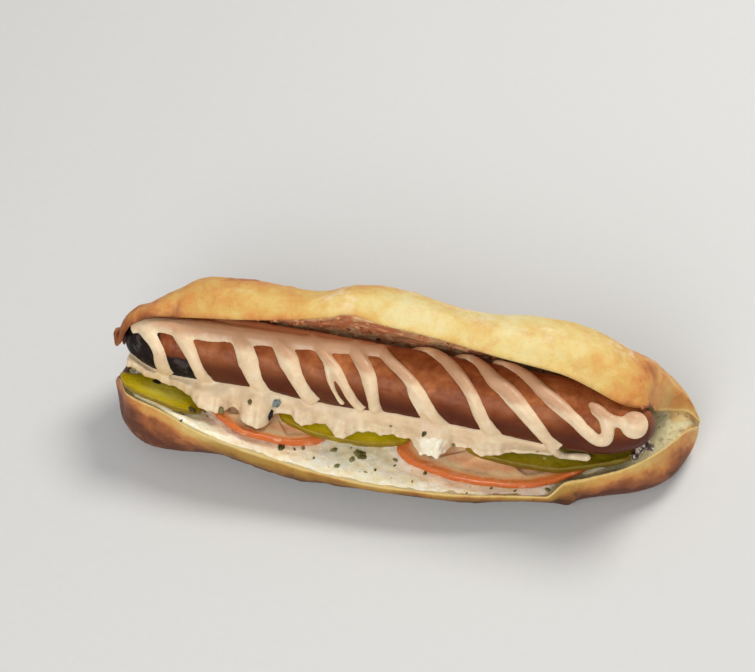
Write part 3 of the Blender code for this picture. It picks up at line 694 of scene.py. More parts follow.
def scatter_tree():
    """Small flat scraps strewn over a surface, each turned and scaled at random from a fixed seed.
    The surface's "strew" attribute thins them out."""
    tree = Tree("scattered_scraps", Density=("Float", 20000.0), Seed=("Int", 1), Smallest=("Float", 0.0003),
                Largest=("Float", 0.0012), Flatness=("Float", 0.3), Material=("Material", None))
    put = tree.inputs
    density = tree.calc("MULTIPLY", put["Density"], tree.given("strew"))
    spots = tree.add("GeometryNodeDistributePointsOnFaces",
                     {"Mesh": put["Geometry"], "Density": density, "Seed": put["Seed"]})
    size = tree.add("FunctionNodeRandomValue", {2: put["Smallest"], 3: put["Largest"], "Seed": 7})[1]
    lay_scraps(tree, spots["Points"], spots["Rotation"], 0.4, 11, 0.7, size)
    return tree


# ---------------------------------------------------------------- materials


def rgb(*screen):
    """A screen colour, 0 to 255, as a linear one."""
    shares = [c / 255 for c in screen]
    return (*(c / 12.92 if c <= 0.04045 else ((c + 0.055) / 1.055) ** 2.4 for c in shares), 1.0)


class Finish:
    """One material; each method adds a node and gives back its output. Sizes are in millimetres."""

    def __init__(self, name, **fixed):
        self.material = bpy.data.materials.new(name)
        self.material.use_nodes = True
        self.tree = self.material.node_tree
        self.shader = self.tree.nodes["Principled BSDF"]
        for key, value in fixed.items():
            self.shader.inputs[key.replace("_", " ")].default_value = value
        self.place = self.add("ShaderNodeTexCoord")["Object"]

    def add(self, kind, sockets=(), **settings):
        node = self.tree.nodes.new(kind)
        for key, value in settings.items():
            setattr(node, key, value)
        for key, value in dict(sockets).items():
            self.plug(value, node.inputs[key])
        return node.outputs

    def plug(self, value, socket):
        if isinstance(value, bpy.types.NodeSocket):
            self.tree.links.new(value, socket)
        else:
            socket.default_value = value

    def stretched(self, stretch):
        if stretch is None:
            return self.place
        return self.add("ShaderNodeMapping", {"Vector": self.place, "Scale": stretch})["Vector"]

    def noise(self, size, detail=4.0, rough=0.55, warp=0.0, stretch=None):
        return self.add("ShaderNodeTexNoise", {
            "Vector": self.stretched(stretch), "Scale": 1 / (size * MM), "Detail": detail,
            "Roughness": rough, "Distortion": warp})["Fac"]

    def cells(self, size, stretch=None):
        return self.add("ShaderNodeTexVoronoi", {"Vector": self.stretched(stretch),
                                                 "Scale": 1 / (size * MM)})["Distance"]

    def given(self, name):
        return self.add("ShaderNodeAttribute", attribute_name=name)["Fac"]

    def height(self, low, high, direction="Z"):
        """0 to 1 between two places along X, Y or Z."""
        value = self.add("ShaderNodeSeparateXYZ", {"Vector": self.place})[direction]
        return self.rise(value, low * MM, high * MM)

    def rise(self, value, low, high, start=0.0, stop=1.0):
        return self.add("ShaderNodeMapRange", {"Value": value, "From Min": low, "From Max": high,
                                               "To Min": start, "To Max": stop},
                        interpolation_type="SMOOTHSTEP")["Result"]

    def calc(self, operation, a, b=0.0):
        return self.add("ShaderNodeMath", {0: a, 1: b}, operation=operation)["Value"]

    def product(self, first, *others):
        for other in others:
            first = self.calc("MULTIPLY", first, other)
        return first

    def total(self, *weighted):
        """The sum of value * weight pairs."""
        result = 0.0
        for value, weight in weighted:
            result = self.calc("ADD", self.calc("MULTIPLY", value, weight), result)
        return result

    def uneven(self, value, *swings):
        """The value with so much of each noise added; noises swing about their middle."""
        swings = [(self.calc("SUBTRACT", noise, 0.5), much) for noise, much in swings]
        return self.total((value, 1.0), *swings)

    def blend(self, share, a, b):
        return self.add("ShaderNodeMix", {0: share, 6: a, 7: b}, data_type="RGBA")[2]

    def tint(self, colour, share, most, other):
        """The colour turned towards another, by most where the share is 1."""
        return self.blend(self.product(share, most), colour, other)

    def ramp(self, value, *stops):
        """Colours by value; each stop is its place, then red, green and blue."""
        node = self.tree.nodes.new("ShaderNodeValToRGB")
        ramp = node.color_ramp
        while len(ramp.elements) < len(stops):
            ramp.elements.new(0.5)
        for element, (at, *colour) in zip(ramp.elements, stops):
            element.position, element.color = at, rgb(*colour)
        self.plug(value, node.inputs["Fac"])
        return node.outputs["Color"]

    def done(self, colour, roughness, *bumps):
        """Plugs the surface in; bumps are (height, millimetres) pairs, coarse first."""
        self.plug(colour, self.shader.inputs["Base Color"])
        self.plug(roughness, self.shader.inputs["Roughness"])
        normal = None
        for height, depth in bumps:
            node = self.add("ShaderNodeBump", {"Height": height, "Distance": depth * MM, "Strength": 1.0})
            if normal is not None:
                self.plug(normal, node["Normal"].node.inputs["Normal"])
            normal = node["Normal"]
        self.plug(normal, self.shader.inputs["Normal"])
        return self.material


def bread_finish():
    f = Finish("bread", Subsurface_Weight=0.08, Subsurface_Radius=(1.0, 0.5, 0.25),
               Subsurface_Scale=0.0015, Specular_IOR_Level=0.3)
    wide, mid, fine = f.noise(24, 3), f.noise(6.5, 6, 0.62, 0.4), f.noise(1.3, 5, 0.6)
    lip = f.uneven(f.given("lip"), (mid, 2.0))
    # Crust: pale to brown with painted shade low on its front, golden low in front, floury on top with a
    # painted highlight
    bake = f.uneven(f.given("bake"), (wide, 0.75), (mid, 0.60), (fine, 0.12))
    crust = f.ramp(bake, (0.0, 224, 207, 150), (0.16, 220, 193, 121), (0.32, 213, 170, 92),
                   (0.48, 206, 140, 72), (0.66, 160, 92, 48), (0.90, 96, 50, 28))
    golden = f.ramp(bake, (0.3, 164, 120, 38), (0.6, 112, 74, 26), (0.9, 70, 42, 16))
    crust = f.tint(crust, f.given("golden"), 0.85, golden)
    # Floury dusting on top, with a painted highlight on the lid's upper back
    dust = f.product(f.given("flour"), f.rise(f.noise(3.2, 5, 0.65), 0.42, 0.66))
    crust = f.tint(crust, dust, 0.55, rgb(242, 226, 196))
    patches = f.rise(f.noise(8.0, 5, 0.6, 0.2), 0.52, 0.70)
    crust = f.tint(crust, patches, 0.28, rgb(204, 130, 66))
    rim = f.product(f.rise(lip, 1.6, 0.6), f.height(38, 31), f.height(-100.5, -96.5, "X"))
    crust = f.tint(crust, rim, 0.7, rgb(238, 208, 134))
    # Crumb: golden at its edge, toasted at the right, sauce-stained under the lid with painted shade
    pores, small = f.rise(f.cells(2.1), 0.32, 0.10), f.rise(f.cells(0.9), 0.34, 0.12)
    crumb = f.blend(wide, rgb(222, 210, 166), rgb(204, 194, 148))
    crumb = f.tint(crumb, f.rise(lip, 2.2, 0.4), 0.7, rgb(232, 196, 120))
    toasted = f.rise(f.uneven(f.given("toast"), (mid, 1.2)), 0.25, 0.85)
    crumb = f.tint(crumb, toasted, 0.8, f.ramp(mid, (0.4, 222, 184, 116), (0.6, 198, 146, 82)))
    # The pores darker: painted shade in the crumb's hollows
    crumb = f.tint(crumb, pores, 0.22, rgb(196, 172, 120))
    crumb = f.tint(crumb, small, 0.10, rgb(200, 176, 126))
    # Sauce stain under the lid, with painted shade in it
    soaked = f.product(f.given("stain"), f.rise(mid, 0.15, 0.45))
    sauce = f.blend(f.rise(mid, 0.42, 0.58), rgb(232, 146, 98), rgb(255, 212, 158))
    crumb = f.blend(soaked, crumb, sauce)
    share = f.rise(f.uneven(f.given("crumb"), (fine, 0.5)), 0.35, 0.65)
    roughness = f.rise(f.total((mid, 0.6), (share, 0.4)), 0.2, 0.9, 0.5, 0.85)
    relief = f.total((mid, 1.0), (f.product(pores, share), -0.4))
    grain = f.total((fine, 1.0), (f.product(small, share), -0.35))
    return f.done(f.blend(share, crust, crumb), roughness, (relief, 0.7), (grain, 0.28))


def sausage_finish():
    f = Finish("grilled_sausage", Subsurface_Weight=0.05, Subsurface_Radius=(1.0, 0.3, 0.15),
               Subsurface_Scale=0.001, Specular_IOR_Level=0.12, Coat_Weight=0.06, Coat_Roughness=0.08)
    wide, mid = f.noise(14, 3), f.noise(3.6, 5, 0.6, 0.3)
    fine = f.noise(0.9, 4, 0.6, 0.0, (0.4, 1, 1))
    colour = f.ramp(f.total((wide, 0.55), (mid, 0.45)), (0.32, 98, 42, 16), (0.46, 132, 66, 30),
                    (0.58, 154, 88, 46), (0.70, 184, 112, 66))
    # Darker towards the underside: painted shade, with some real browning
    low = f.rise(f.uneven(f.height(47, 34), (mid, 0.6)), 0.15, 0.9)
    colour = f.tint(colour, low, 0.85, rgb(70, 24, 10))
    behind = f.product(f.height(-75, -60, "X"), f.height(2, -14, "X"), f.height(0.5, 3.5, "Y"),
                       f.height(38, 43))
    smear = f.rise(f.uneven(behind, (mid, 1.0)), 0.2, 0.9)
    colour = f.tint(colour, smear, 0.8, rgb(216, 164, 124))
    # Charred at the left tip and in a patch lower down
    tip = f.rise(f.uneven(f.height(-80, -88, "X"), (mid, 0.9)), 0.35, 0.7)
    patch = f.product(f.height(-67, -72, "X"), f.height(42.5, 37.5))
    patch = f.rise(f.uneven(patch, (mid, 1.0)), 0.4, 0.75)
    char = f.calc("MAXIMUM", f.product(tip, f.height(48, 44)), patch)
    ash = f.blend(f.rise(mid, 0.5, 0.66), rgb(20, 17, 19), rgb(66, 58, 56))
    colour = f.tint(colour, char, 0.96, ash)
    # Painted highlight: a paler, greyer rim on the right end
    end = f.rise(f.uneven(f.height(84.4, 86.4, "X"), (mid, 0.6)), 0.3, 0.8)
    colour = f.tint(colour, end, 0.2, rgb(158, 122, 108))
    roughness = f.rise(f.total((mid, 0.7), (char, 0.6)), 0.2, 1.0, 0.38, 0.66)
    return f.done(colour, roughness, (mid, 0.35), (fine, 0.12))


def sauce_finish():
    f = Finish("sauce", Subsurface_Weight=0.25, Subsurface_Radius=(1.0, 0.6, 0.4),
               Subsurface_Scale=0.0012, Specular_IOR_Level=0.45)
    wide, mid, fine = f.noise(9, 3, 0.5, 0.5), f.noise(2.6, 4), f.noise(0.7, 3)
    colour = f.ramp(f.total((wide, 0.6), (mid, 0.4)), (0.34, 217, 187, 150), (0.5, 228, 202, 165),
                    (0.66, 236, 216, 181))
    white = f.rise(f.uneven(f.given("milky"), (mid, 0.5)), 0.3, 0.9)
    colour = f.blend(white, colour, rgb(244, 236, 212))
    colour = f.tint(colour, f.rise(f.cells(2.8), 0.10, 0.04), 0.35, rgb(180, 120, 80))
    # Painted shade: the sauce darker along the sausage's top, in the lid's shadow
    thin = f.rise(f.uneven(f.height(44.0, 48.0), (wide, 0.8), (mid, 0.8)), 0.2, 1.0)
    colour = f.tint(colour, thin, 0.8, rgb(186, 134, 96))
    return f.done(colour, f.rise(mid, 0.3, 0.7, 0.34, 0.5), (mid, 0.16), (fine, 0.05))


def spread_finish():
    f = Finish("herb_mayonnaise", Subsurface_Weight=0.2, Subsurface_Radius=(1.0, 0.8, 0.5),
               Subsurface_Scale=0.0012, Specular_IOR_Level=0.45)
    wide, mid, fine = f.noise(8, 3), f.noise(2.2, 5), f.noise(0.8, 3)
    colour = f.ramp(f.total((wide, 0.5), (mid, 0.5)), (0.36, 246, 226, 178), (0.50, 253, 244, 214),
                    (0.62, 255, 255, 240))
    colour = f.tint(colour, f.rise(f.noise(4.0, 3), 0.54, 0.66), 0.3, rgb(238, 206, 158))
    colour = f.tint(colour, f.rise(f.cells(3.6), 0.18, 0.08), 0.55, rgb(222, 168, 112))
    colour = f.tint(colour, f.rise(f.cells(2.4), 0.12, 0.05), 0.45, rgb(150, 140, 90))
    return f.done(colour, f.rise(mid, 0.3, 0.7, 0.35, 0.6), (mid, 0.3), (fine, 0.08))


def tomato_finish():
    f = Finish("tomato", Subsurface_Weight=0.3, Subsurface_Radius=(1.0, 0.35, 0.15),
               Subsurface_Scale=0.0015, Specular_IOR_Level=0.4, Coat_Weight=0.25, Coat_Roughness=0.08)
    mid, fine = f.noise(3.0, 4, 0.55, 0.4), f.noise(0.8, 3)
    place = f.uneven(f.given("share"), (mid, 0.10))
    flesh = f.ramp(place, (0.35, 255, 210, 164), (0.55, 252, 184, 134), (0.74, 255, 218, 172),
                   (0.84, 252, 186, 130), (0.90, 230, 134, 66), (1.0, 206, 104, 44))
    flesh = f.tint(flesh, f.rise(mid, 0.55, 0.72), 0.4, rgb(255, 224, 186))
    return f.done(flesh, f.rise(mid, 0.3, 0.7, 0.18, 0.4), (mid, 0.3), (fine, 0.08))


def gherkin_finish():
    f = Finish("gherkin", Subsurface_Weight=0.3, Subsurface_Radius=(0.7, 1.0, 0.2),
               Subsurface_Scale=0.0015, Specular_IOR_Level=0.25, Coat_Weight=0.06, Coat_Roughness=0.12)
    share, mid, fine = f.given("share"), f.noise(2.6, 4, 0.55, 0.4), f.noise(0.7, 3)
    colour = f.ramp(f.uneven(share, (mid, 0.16)), (0.30, 206, 192, 70), (0.60, 196, 176, 22),
                    (0.84, 186, 164, 6), (0.95, 166, 140, 12), (1.0, 136, 112, 16))
    # Painted shade: the right slice darker, where the sausage shades it
    colour = f.tint(colour, f.height(24, 40, "X"), 0.55, rgb(92, 76, 22))
    seeds = f.product(f.rise(f.cells(2.6, (0.6, 1, 1)), 0.2, 0.1), f.rise(share, 0.7, 0.5))
    colour = f.tint(colour, seeds, 0.6, rgb(226, 216, 150))
    return f.done(colour, f.rise(mid, 0.3, 0.7, 0.2, 0.42), (mid, 0.3), (fine, 0.08))


def herb_finish():
    f = Finish("herbs", Specular_IOR_Level=0.35)
    wide, fine = f.noise(3.0, 3), f.noise(0.5, 4)
    tone = f.total((wide, 0.7), (fine, 0.3), (f.given("pale"), 1.0))
    colour = f.ramp(tone, (0.14, 22, 14, 10), (0.34, 70, 62, 30), (0.5, 112, 106, 54),
                    (0.64, 148, 142, 92), (0.80, 128, 138, 140))
    return f.done(colour, f.rise(fine, 0.3, 0.7, 0.45, 0.8), (fine, 0.15))


def knot_finish():
    f = Finish("casing_knot", Specular_IOR_Level=0.3, Coat_Weight=0.1, Coat_Roughness=0.2)
    mid, fine = f.noise(1.6, 4), f.noise(0.5, 3)
    # Painted highlight: the near-white stop makes glints on the knot
    colour = f.ramp(mid, (0.42, 38, 24, 18), (0.52, 112, 90, 76), (0.64, 214, 204, 190))
    return f.done(colour, f.rise(fine, 0.3, 0.7, 0.4, 0.7), (mid, 0.3), (fine, 0.1))


def crumbs_finish():
    f = Finish("loose_crumbs", Specular_IOR_Level=0.2)
    wide, fine = f.noise(4.0, 2), f.noise(0.5, 4)
    colour = f.ramp(wide, (0.38, 92, 70, 40), (0.48, 170, 96, 60), (0.62, 226, 176, 128))
    return f.done(colour, f.rise(fine, 0.3, 0.7, 0.7, 0.95), (fine, 0.15))


# ---------------------------------------------------------------- sauce


def strand_points(width, path):
    """Centres and radii of a round strand whose top shows as a ridge on the skin."""
    first, second = np.array(path[0], float), np.array(path[1], float)
    if first[0] > 10 and first[1] < 1:
        path = (first + (first - second) * UNDER_LID / (first[1] - second[1]), *path)
    count = max(24, round(1.6 * np.linalg.norm(np.subtract(path[-1], path[0]))))
    path = spline(path, count)
    t = np.linspace(0.0, 1.0, len(path))
    wide = width * (1 + 0.10 * np.sin(5.5 * t + path[0, 0]) + 0.06 * np.sin(11.0 * t + 2 * path[0, 0])
                    + 0.35 * bell(path[:, 1], 112, 16))
    tall = STRAND_HEIGHT * np.minimum(1.0, width / 4.2) * np.ones(len(path))
    if first[0] > -30 and first[1] > 10:  # starts in the open, so thin
        wide *= 0.45 + 0.55 * smooth(0.0, 0.3, t)
        tall *= 0.40 + 0.60 * smooth(0.0, 0.3, t)
    radius = (wide**2 / 4 + tall**2) / (2 * tall)
    return on_sausage(path[:, 0], path[:, 1], tall - radius), radius


def drizzle_curves():
    """One curve object with a poly line for each strand, its thickness as the points' radius."""
    curve = bpy.data.curves.new("strands", "CURVE")
    curve.dimensions = "3D"
    for width, path in STRANDS:
        centres, radii = strand_points(width, path)
        line = curve.splines.new("POLY")
        line.points.add(len(centres) - 1)
        for point, centre, radius in zip(line.points, centres * MM, radii * MM):
            point.co = (*centre, 1.0)
            point.radius = radius
    obj = bpy.data.objects.new("strands", curve)
    bpy.context.scene.collection.objects.link(obj)
    return obj


def slice_share(piece, x, y):
    """0 at the slice's centre, 1 on its rim."""
    turn = math.radians(piece[4])
    dx, dy = x - piece[0], y - piece[1]
    u = (dx * math.cos(turn) + dy * math.sin(turn)) / piece[2]
    v = (dy * math.cos(turn) - dx * math.sin(turn)) / piece[3]
    return np.hypot(u, v)


def slice_bottom(name, x, y):
    return dish(x, y) + GAP + SLICES[name][5]


def filling_top(x, y):
    """The highest thing on the crumb at this place."""
    top = dish(x, y) + GAP + SPREAD_THICKNESS
    for name, piece in SLICES.items():
        over = np.maximum(top, slice_bottom(name, x, y) + piece[6])
        top = np.where(slice_share(piece, x, y) < 1.12, over, top)
    return top


def rest_height(x, y):
    """Level at which sauce lies over the fillings near this place."""
    near = [filling_top(x + d, y + e) for d in (-3.5, -1.8, 0, 1.8, 3.5) for e in (-0.8, 0.8, 2.4)]
    return np.max(near, axis=0) + GAP


def band_front(x):
    """Y of the run-off's front edge, with its blunt drips."""
    drips = sum(reach * math.exp(-(abs(x - at) / wide) ** 4) for at, reach, wide in DRIPS)
    return along(x, BAND_Y) - drips - 0.5 * math.sin(0.9 * x) - 0.35 * math.sin(2.1 * x + 1)


def build_band():
    """The run-off: a thick curtain from the sausage's front down onto the slices."""
    rings = []
    for x in np.linspace(BAND_LEFT, BAND_RIGHT, BAND_RINGS):
        top = float(along(x, BAND_TOP))
        start = on_sausage(x, top, 0.9)
        front = mix(float(band_front(x)), float(start[1]) + 2.5, float(smooth(32.0, 53.0, x)))
        tip_z = max(float(rest_height(x, front)), 21.0)
        fade = float(smooth(BAND_RIGHT + 1, 30.0, x)) * float(smooth(BAND_LEFT - 1, -92.0, x))
        deep = 1.3 + 1.0 * fade
        inner = on_sausage(x, top + 22, -2.0)
        body = on_sausage(x, top - 3, -2.2)
        over = mix(start[1:], np.array([front, tip_z + deep]), 0.5) + np.array([-0.5, 0.9])
        under = np.array([mix(inner[1], front, 0.55), 0.0])
        under[1] = max(float(rest_height(x, under[0])), mix(inner[2], tip_z, 0.5))
        ring = [body[1:], start[1:], over, (front + 0.5, tip_z + deep), (front - 0.3, tip_z + 0.5 * deep),
                (front + 0.6, tip_z), under, inner[1:]]
        rings.append([(x, y, z) for y, z in ring])
    first = np.mean(rings[0], axis=0) - np.array([0.8, 0, 0])
    last = np.mean(rings[-1], axis=0) + np.array([0.8, 0, 0])
    return lathe([ring[::-1] for ring in rings], first, last)


def build_stem(path, sides=20, pleats=0.0):
    """A closed tube through (x, y, z, radius) points, its sides pleated by this share of the radius."""
    line = spline(path, 10 * len(path))
    turn = np.linspace(0, 2 * math.pi, sides + 1)[:-1, None]
    rings = []
    for k, (spot, tangent) in enumerate(zip(line, np.gradient(line[:, :3], axis=0))):
        tangent = tangent / np.linalg.norm(tangent)
        side = np.cross(tangent, (0.3, 1.0, 0.2))
        side /= np.linalg.norm(side)
        radius = spot[3] * (1 + pleats * np.cos(5 * turn + 0.25 * k))
        rings.append(spot[:3] + radius * (np.cos(turn) * side + np.sin(turn) * np.cross(tangent, side)))
    spine = line[:, :3]
    return lathe(rings, spine[0] - 0.3 * (spine[1] - spine[0]), spine[-1] + 0.5 * (spine[-1] - spine[-2]))


def build_blob(x, degrees, radius):
    centre = on_sausage(x, degrees, 0.6)
    up = on_sausage(x, degrees, 1.0) - on_sausage(x, degrees)
    side = np.array([1.0, 0.0, 0.0])
    front = np.cross(up, side)
    rings = []
    for lift in np.radians(np.linspace(-75, 75, 16)):
        rings.append([centre + radius * math.cos(lift) * (math.cos(a) * side + math.sin(a) * front)
                      + BLOB_RISE * math.sin(lift) * up for a in np.linspace(0, 2 * math.pi, 33)[:-1]])
    return lathe(rings, centre - BLOB_RISE * up, centre + BLOB_RISE * up)


def joined(name, shapes):
    """One mesh from several closed ones, all still overlapping."""
    verts, faces, start = [], [], 0
    for points, polygons in shapes:
        verts.append(np.asarray(points, float))
        faces += [tuple(v + start for v in face) for face in polygons]
        start += len(points)
    return make_piece(name, np.vstack(verts), faces)


def build_sauce(material):
    strands = drizzle_tree().run(drizzle_curves(), Step=0.0006, Material=material)
    ready = [(points_of(strands), [tuple(p.vertices) for p in strands.data.polygons])]
    bpy.data.objects.remove(strands)
    sauce = joined("sauce", ready + [build_blob(*BLOB), build_band(), build_stem(RUNAWAY)])
    remesh = sauce.modifiers.new("fuse", "REMESH")
    remesh.mode, remesh.voxel_size, remesh.use_smooth_shade = "VOXEL", SAUCE_GRAIN * MM, True
    relax = sauce.modifiers.new("relax", "SMOOTH")
    relax.factor, relax.iterations = 0.5, 6
    sauce = mesh_from(sauce)
    sauce.data.materials.clear()
    sauce.data.materials.append(material)
    points = points_of(sauce)
    x, y, z = points.T
    curd = np.maximum(bell(x, 14, 4.5), 0.8 * bell(x, 25.5, 1.8)) * smooth(-19, -20.5, y) * smooth(30, 28, z)
    crumbly = curd * (0.2 + 1.1 * lumps(points, 2.9, 23) + 1.0 * lumps(points, 1.5, 24))
    swell(sauce, 0.16 * lumps(points, 4.5, 21) + 0.06 * lumps(points, 1.8, 22) + 0.7 * crumbly)
    mark(sauce, milky=0.5 * smooth(31, 26, z) + 0.7 * curd + 0.8 * crumbly)
    return sauce


# ---------------------------------------------------------------- slices and spread


def build_slice(name, piece_name, material, juicy):
    """An oval slice that lies on what is under it, with rounded rims."""
    cx, cy, long, deep, turn, _, thick = SLICES[name]
    turn = math.radians(turn)
    edge = [(0.965, 0.04), (0.985, 0.16), (0.997, 0.34), (1.0, 0.5)]  # share of the radius, and level
    edge += [(share, 1 - level) for share, level in edge[2::-1]]
    rims = [(share, 0.0) for share in np.linspace(0.05, 0.93, 16)] + edge
    rims += [(share, 1.0) for share in np.linspace(0.93, 0.05, 22)]
    around = np.linspace(0, 2 * math.pi, 181)[:-1]
    wave = 1 + 0.02 * np.sin(5 * around + cx) + 0.012 * np.sin(9 * around) + 0.006 * np.sin(23 * around + cy)
    rings, shares = [], []
    for share, level in rims:
        u, v = long * share * wave * np.cos(around), deep * share * wave * np.sin(around)
        x = cx + u * math.cos(turn) - v * math.sin(turn)
        y = cy + u * math.sin(turn) + v * math.cos(turn)
        z = slice_bottom(name, x, y) + thick * level
        if juicy and level == 1.0:  # pockets of gel between the walls
            pocket = smooth(0.30, 0.42, share) * smooth(0.80, 0.68, share)
            z -= 0.9 * pocket * smooth(-0.2, 0.4, np.cos(7 * around))
        rings.append(np.column_stack([x, y, z]))
        shares += [share] * len(around)
    low = float(slice_bottom(name, np.float64(cx), np.float64(cy)))
    verts, faces = lathe(rings, (cx, cy, low), (cx, cy, low + thick))
    piece = make_piece(piece_name, verts, faces, material, share=np.array(shares + [0.0, 0.0]))
    points = points_of(piece)
    swell(piece, 0.14 * lumps(points, 4.0, 31) + 0.07 * lumps(points, 1.6, 32))
    return piece


def spread_edges(x):
    lip = max(along(x + d, LIP_Y) for d in (-3.0, 0.0, 3.0))
    near_lip = mix(1.0, 0.3, smooth(-50.0, -64.0, x))
    front = lip + near_lip * (1.3 + 0.6 * math.sin(0.35 * x) + 0.35 * math.sin(0.9 * x + 1))
    front += 6.0 * smooth(53.0, 59.0, x)
    return front, along(x, ROOT_Y) - 4.0 - 7.0 * smooth(-72.0, -90.0, x)


def build_spread(material):
    """A layer on the crumb, thin at its edges."""
    rings = []
    for x in np.linspace(SPREAD_LEFT, SPREAD_RIGHT, 320):
        front, back = spread_edges(x)
        ends = min(1.0, (x - SPREAD_LEFT + 1.5) / 5, (SPREAD_RIGHT + 1.5 - x) / 5)
        w = np.linspace(0.0, 1.0, 90)
        y = mix(front, back, w)
        z = dish(x, y)
        steep = 4.0 + 14.0 * smooth(-50.0, -64.0, x)
        edge = np.minimum(1.0, w * steep) * np.minimum(1.0, (1 - w) * 6.75)
        top = z - 0.6 + (GAP + 0.6 + SPREAD_THICKNESS) * np.sqrt(edge) * (0.25 + 0.75 * ends)
        rings.append(np.vstack([np.column_stack([np.full_like(y, x), y, z - 1.2]),
                                np.column_stack([np.full_like(y, x), y, top])[::-1]]))
    verts, faces = lathe(rings, np.mean(rings[0], axis=0), np.mean(rings[-1], axis=0))
    piece = make_piece("mayonnaise", verts, faces, material)
    points = points_of(piece)
    upper = smooth(0.2, 0.8, normals_of(piece)[:, 2])
    swell(piece, upper * (0.32 * lumps(points, 5.0, 41) + 0.22 * lumps(points, 2.4, 42)))
    return piece


# ---------------------------------------------------------------- small things


def build_knot(material):
    knot = joined("casing_knot", [build_stem(stem, 24, 0.14) for stem in KNOT])
    knot.data.materials.append(material)
    points = points_of(knot)
    swell(knot, 0.25 * lumps(points, 1.3, 51))
    return knot


def build_scraps(material, pieces):
    """The single herb scraps, each on the first of these pieces below it."""
    back = Vector(FROM_FRONT).normalized()
    bpy.context.view_layer.update()
    spots, ups = [], []
    for x, y, z, *_ in SCRAPS:
        start = Vector((x, y, z)) * MM + back * DROP_FROM * MM
        hits = [piece.ray_cast(start, -back) for piece in pieces]
        hits = [((hit[1] - start).length, hit[1], hit[2]) for hit in hits if hit[0]]
        _, spot, up = min(hits, key=lambda hit: hit[0])
        spots.append(spot / MM)
        ups.append(up)
    seeds = make_piece("herb_scraps", spots, [], size=[scrap[3] * MM for scrap in SCRAPS],
                       pale=[scrap[4] for scrap in SCRAPS])
    seeds.data.attributes.new("up", "FLOAT_VECTOR", "POINT").data.foreach_set(
        "vector", np.array(ups, np.float32).reshape(-1))
    return placed_tree().run(seeds, Material=material)


# ---------------------------------------------------------------- stage


def area_light(name, place, target, size, power, colour):
    light = bpy.data.lights.new(name, "AREA")
    light.shape, light.size, light.energy, light.color = "DISK", size, power, colour
    obj = bpy.data.objects.new(name, light)
    obj.location = place
    obj.rotation_euler = (Vector(target) - Vector(place)).to_track_quat("-Z", "Y").to_euler()
    bpy.context.scene.collection.objects.link(obj)


SENSOR = 36.0
PICTURE_WIDTH, FOCAL_PIXELS = 755, 2100  # both in pixels


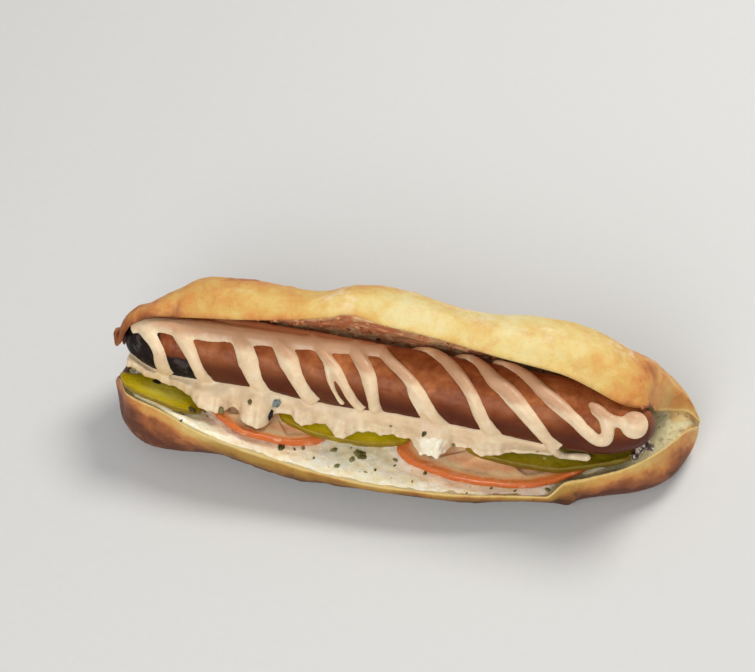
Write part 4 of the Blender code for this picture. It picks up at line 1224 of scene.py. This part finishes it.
def set_stage():
    """Floor, soft light and the camera."""
    side = 4.0
    floor = bpy.data.meshes.new("floor")
    corners = [(-side, -side, 0), (side, -side, 0), (side, side, 0), (-side, side, 0)]
    floor.from_pydata(corners, [], [(0, 1, 2, 3)])
    f = Finish("floor", Specular_IOR_Level=0.2)
    grain = f.noise(3.0, 4)
    colour = f.blend(grain, (0.60, 0.60, 0.59, 1.0), (0.63, 0.63, 0.62, 1.0))
    f.done(colour, f.rise(grain, 0.3, 0.7, 0.7, 0.85), (grain, 0.05))
    floor.materials.append(f.material)
    obj = bpy.data.objects.new("floor", floor)
    bpy.context.scene.collection.objects.link(obj)
    world = bpy.data.worlds.new("studio")
    world.use_nodes = True
    sky = world.node_tree.nodes["Background"].inputs
    sky["Color"].default_value = (0.93, 0.96, 1.0, 1.0)
    sky["Strength"].default_value = 0.36
    bpy.context.scene.world = world
    area_light("key", (0.30, 0.45, 0.85), (0, 0, 0.02), 0.45, 6.6, (1.0, 0.97, 0.92))
    area_light("front", (-0.15, -0.95, 0.75), (0, 0, 0.02), 0.8, 8.8, (1.0, 0.98, 0.96))
    bpy.context.scene.view_settings.view_transform = "Standard"

    azimuth, elevation = math.radians(10.5), math.radians(50.0)
    distance, aside, below = 750.0, 9.571, 35.643
    right = Vector((math.cos(azimuth), math.sin(azimuth), 0))
    back = Vector((math.sin(azimuth) * math.cos(elevation), -math.cos(azimuth) * math.cos(elevation),
                   math.sin(elevation)))
    up = back.cross(right)
    camera = bpy.data.objects.new("camera", bpy.data.cameras.new("camera"))
    camera.data.sensor_width = SENSOR
    camera.data.lens = SENSOR * FOCAL_PIXELS / PICTURE_WIDTH
    turn = Matrix((right, up, back)).transposed().to_4x4()
    camera.matrix_world = Matrix.Translation((back * distance - right * aside + up * below) * MM) @ turn
    camera.data.clip_start, camera.data.clip_end = 0.01, 20
    bpy.context.scene.collection.objects.link(camera)
    bpy.context.scene.camera = camera


# ---------------------------------------------------------------- the hot dog


set_stage()

herbs = herb_finish()
roll = build_roll(bread_finish())

skin = sausage_finish()
sausage_seed = make_piece("sausage_skin", [(0, 0, 0)], [])
length = SAUSAGE_RIGHT - SAUSAGE_LEFT
sausage = sausage_tree().run(
    sausage_seed, Left=(axis(SAUSAGE_LEFT) * MM).tolist(), Right=(axis(SAUSAGE_RIGHT) * MM).tolist(),
    Radius=SAUSAGE_RADIUS * MM, LeftEnd=SAUSAGE_ENDS[0][0] / length, LeftBlunt=SAUSAGE_ENDS[0][1],
    RightEnd=SAUSAGE_ENDS[1][0] / length, RightBlunt=SAUSAGE_ENDS[1][1], Wrinkle=0.0005, Material=skin)

sauce = build_sauce(sauce_finish())

gherkin, tomato = gherkin_finish(), tomato_finish()
slices = {}
for node in SLICES:
    juicy = node.startswith("tomato")
    slices[node] = build_slice(node, node.replace("pickle", "gherkin") + "_slice",
                               tomato if juicy else gherkin, juicy)

spread = build_spread(spread_finish())

mark(spread, strew=np.ones(len(spread.data.vertices)))
scatter = scatter_tree()
small_herbs = scatter.run(copy_of(spread, "herbs_in_mayonnaise"), Density=6000.0, Seed=5,
                          Smallest=0.00025, Largest=0.00065, Flatness=0.35, Material=herbs)
crumbs = scatter.run(copy_of(roll, "crumbs_under_lid"), Density=14000.0, Seed=8, Smallest=0.0004,
                     Largest=0.0013, Flatness=0.6, Material=crumbs_finish())
scraps = build_scraps(herbs, [sauce, spread, *slices.values()])
knot = build_knot(knot_finish())

for piece, slot in ((roll, "crust"), (sausage, "sausage"), (sauce, "spread"), (spread, "spread"),
                    (small_herbs, "spread"), (scraps, "spread"), (crumbs, "crust"), (knot, "sausage")):
    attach(piece, "root")
for node, piece in slices.items():
    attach(piece, "root")
    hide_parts(node)
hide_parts("bun")
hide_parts("sausage")
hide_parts("spread")
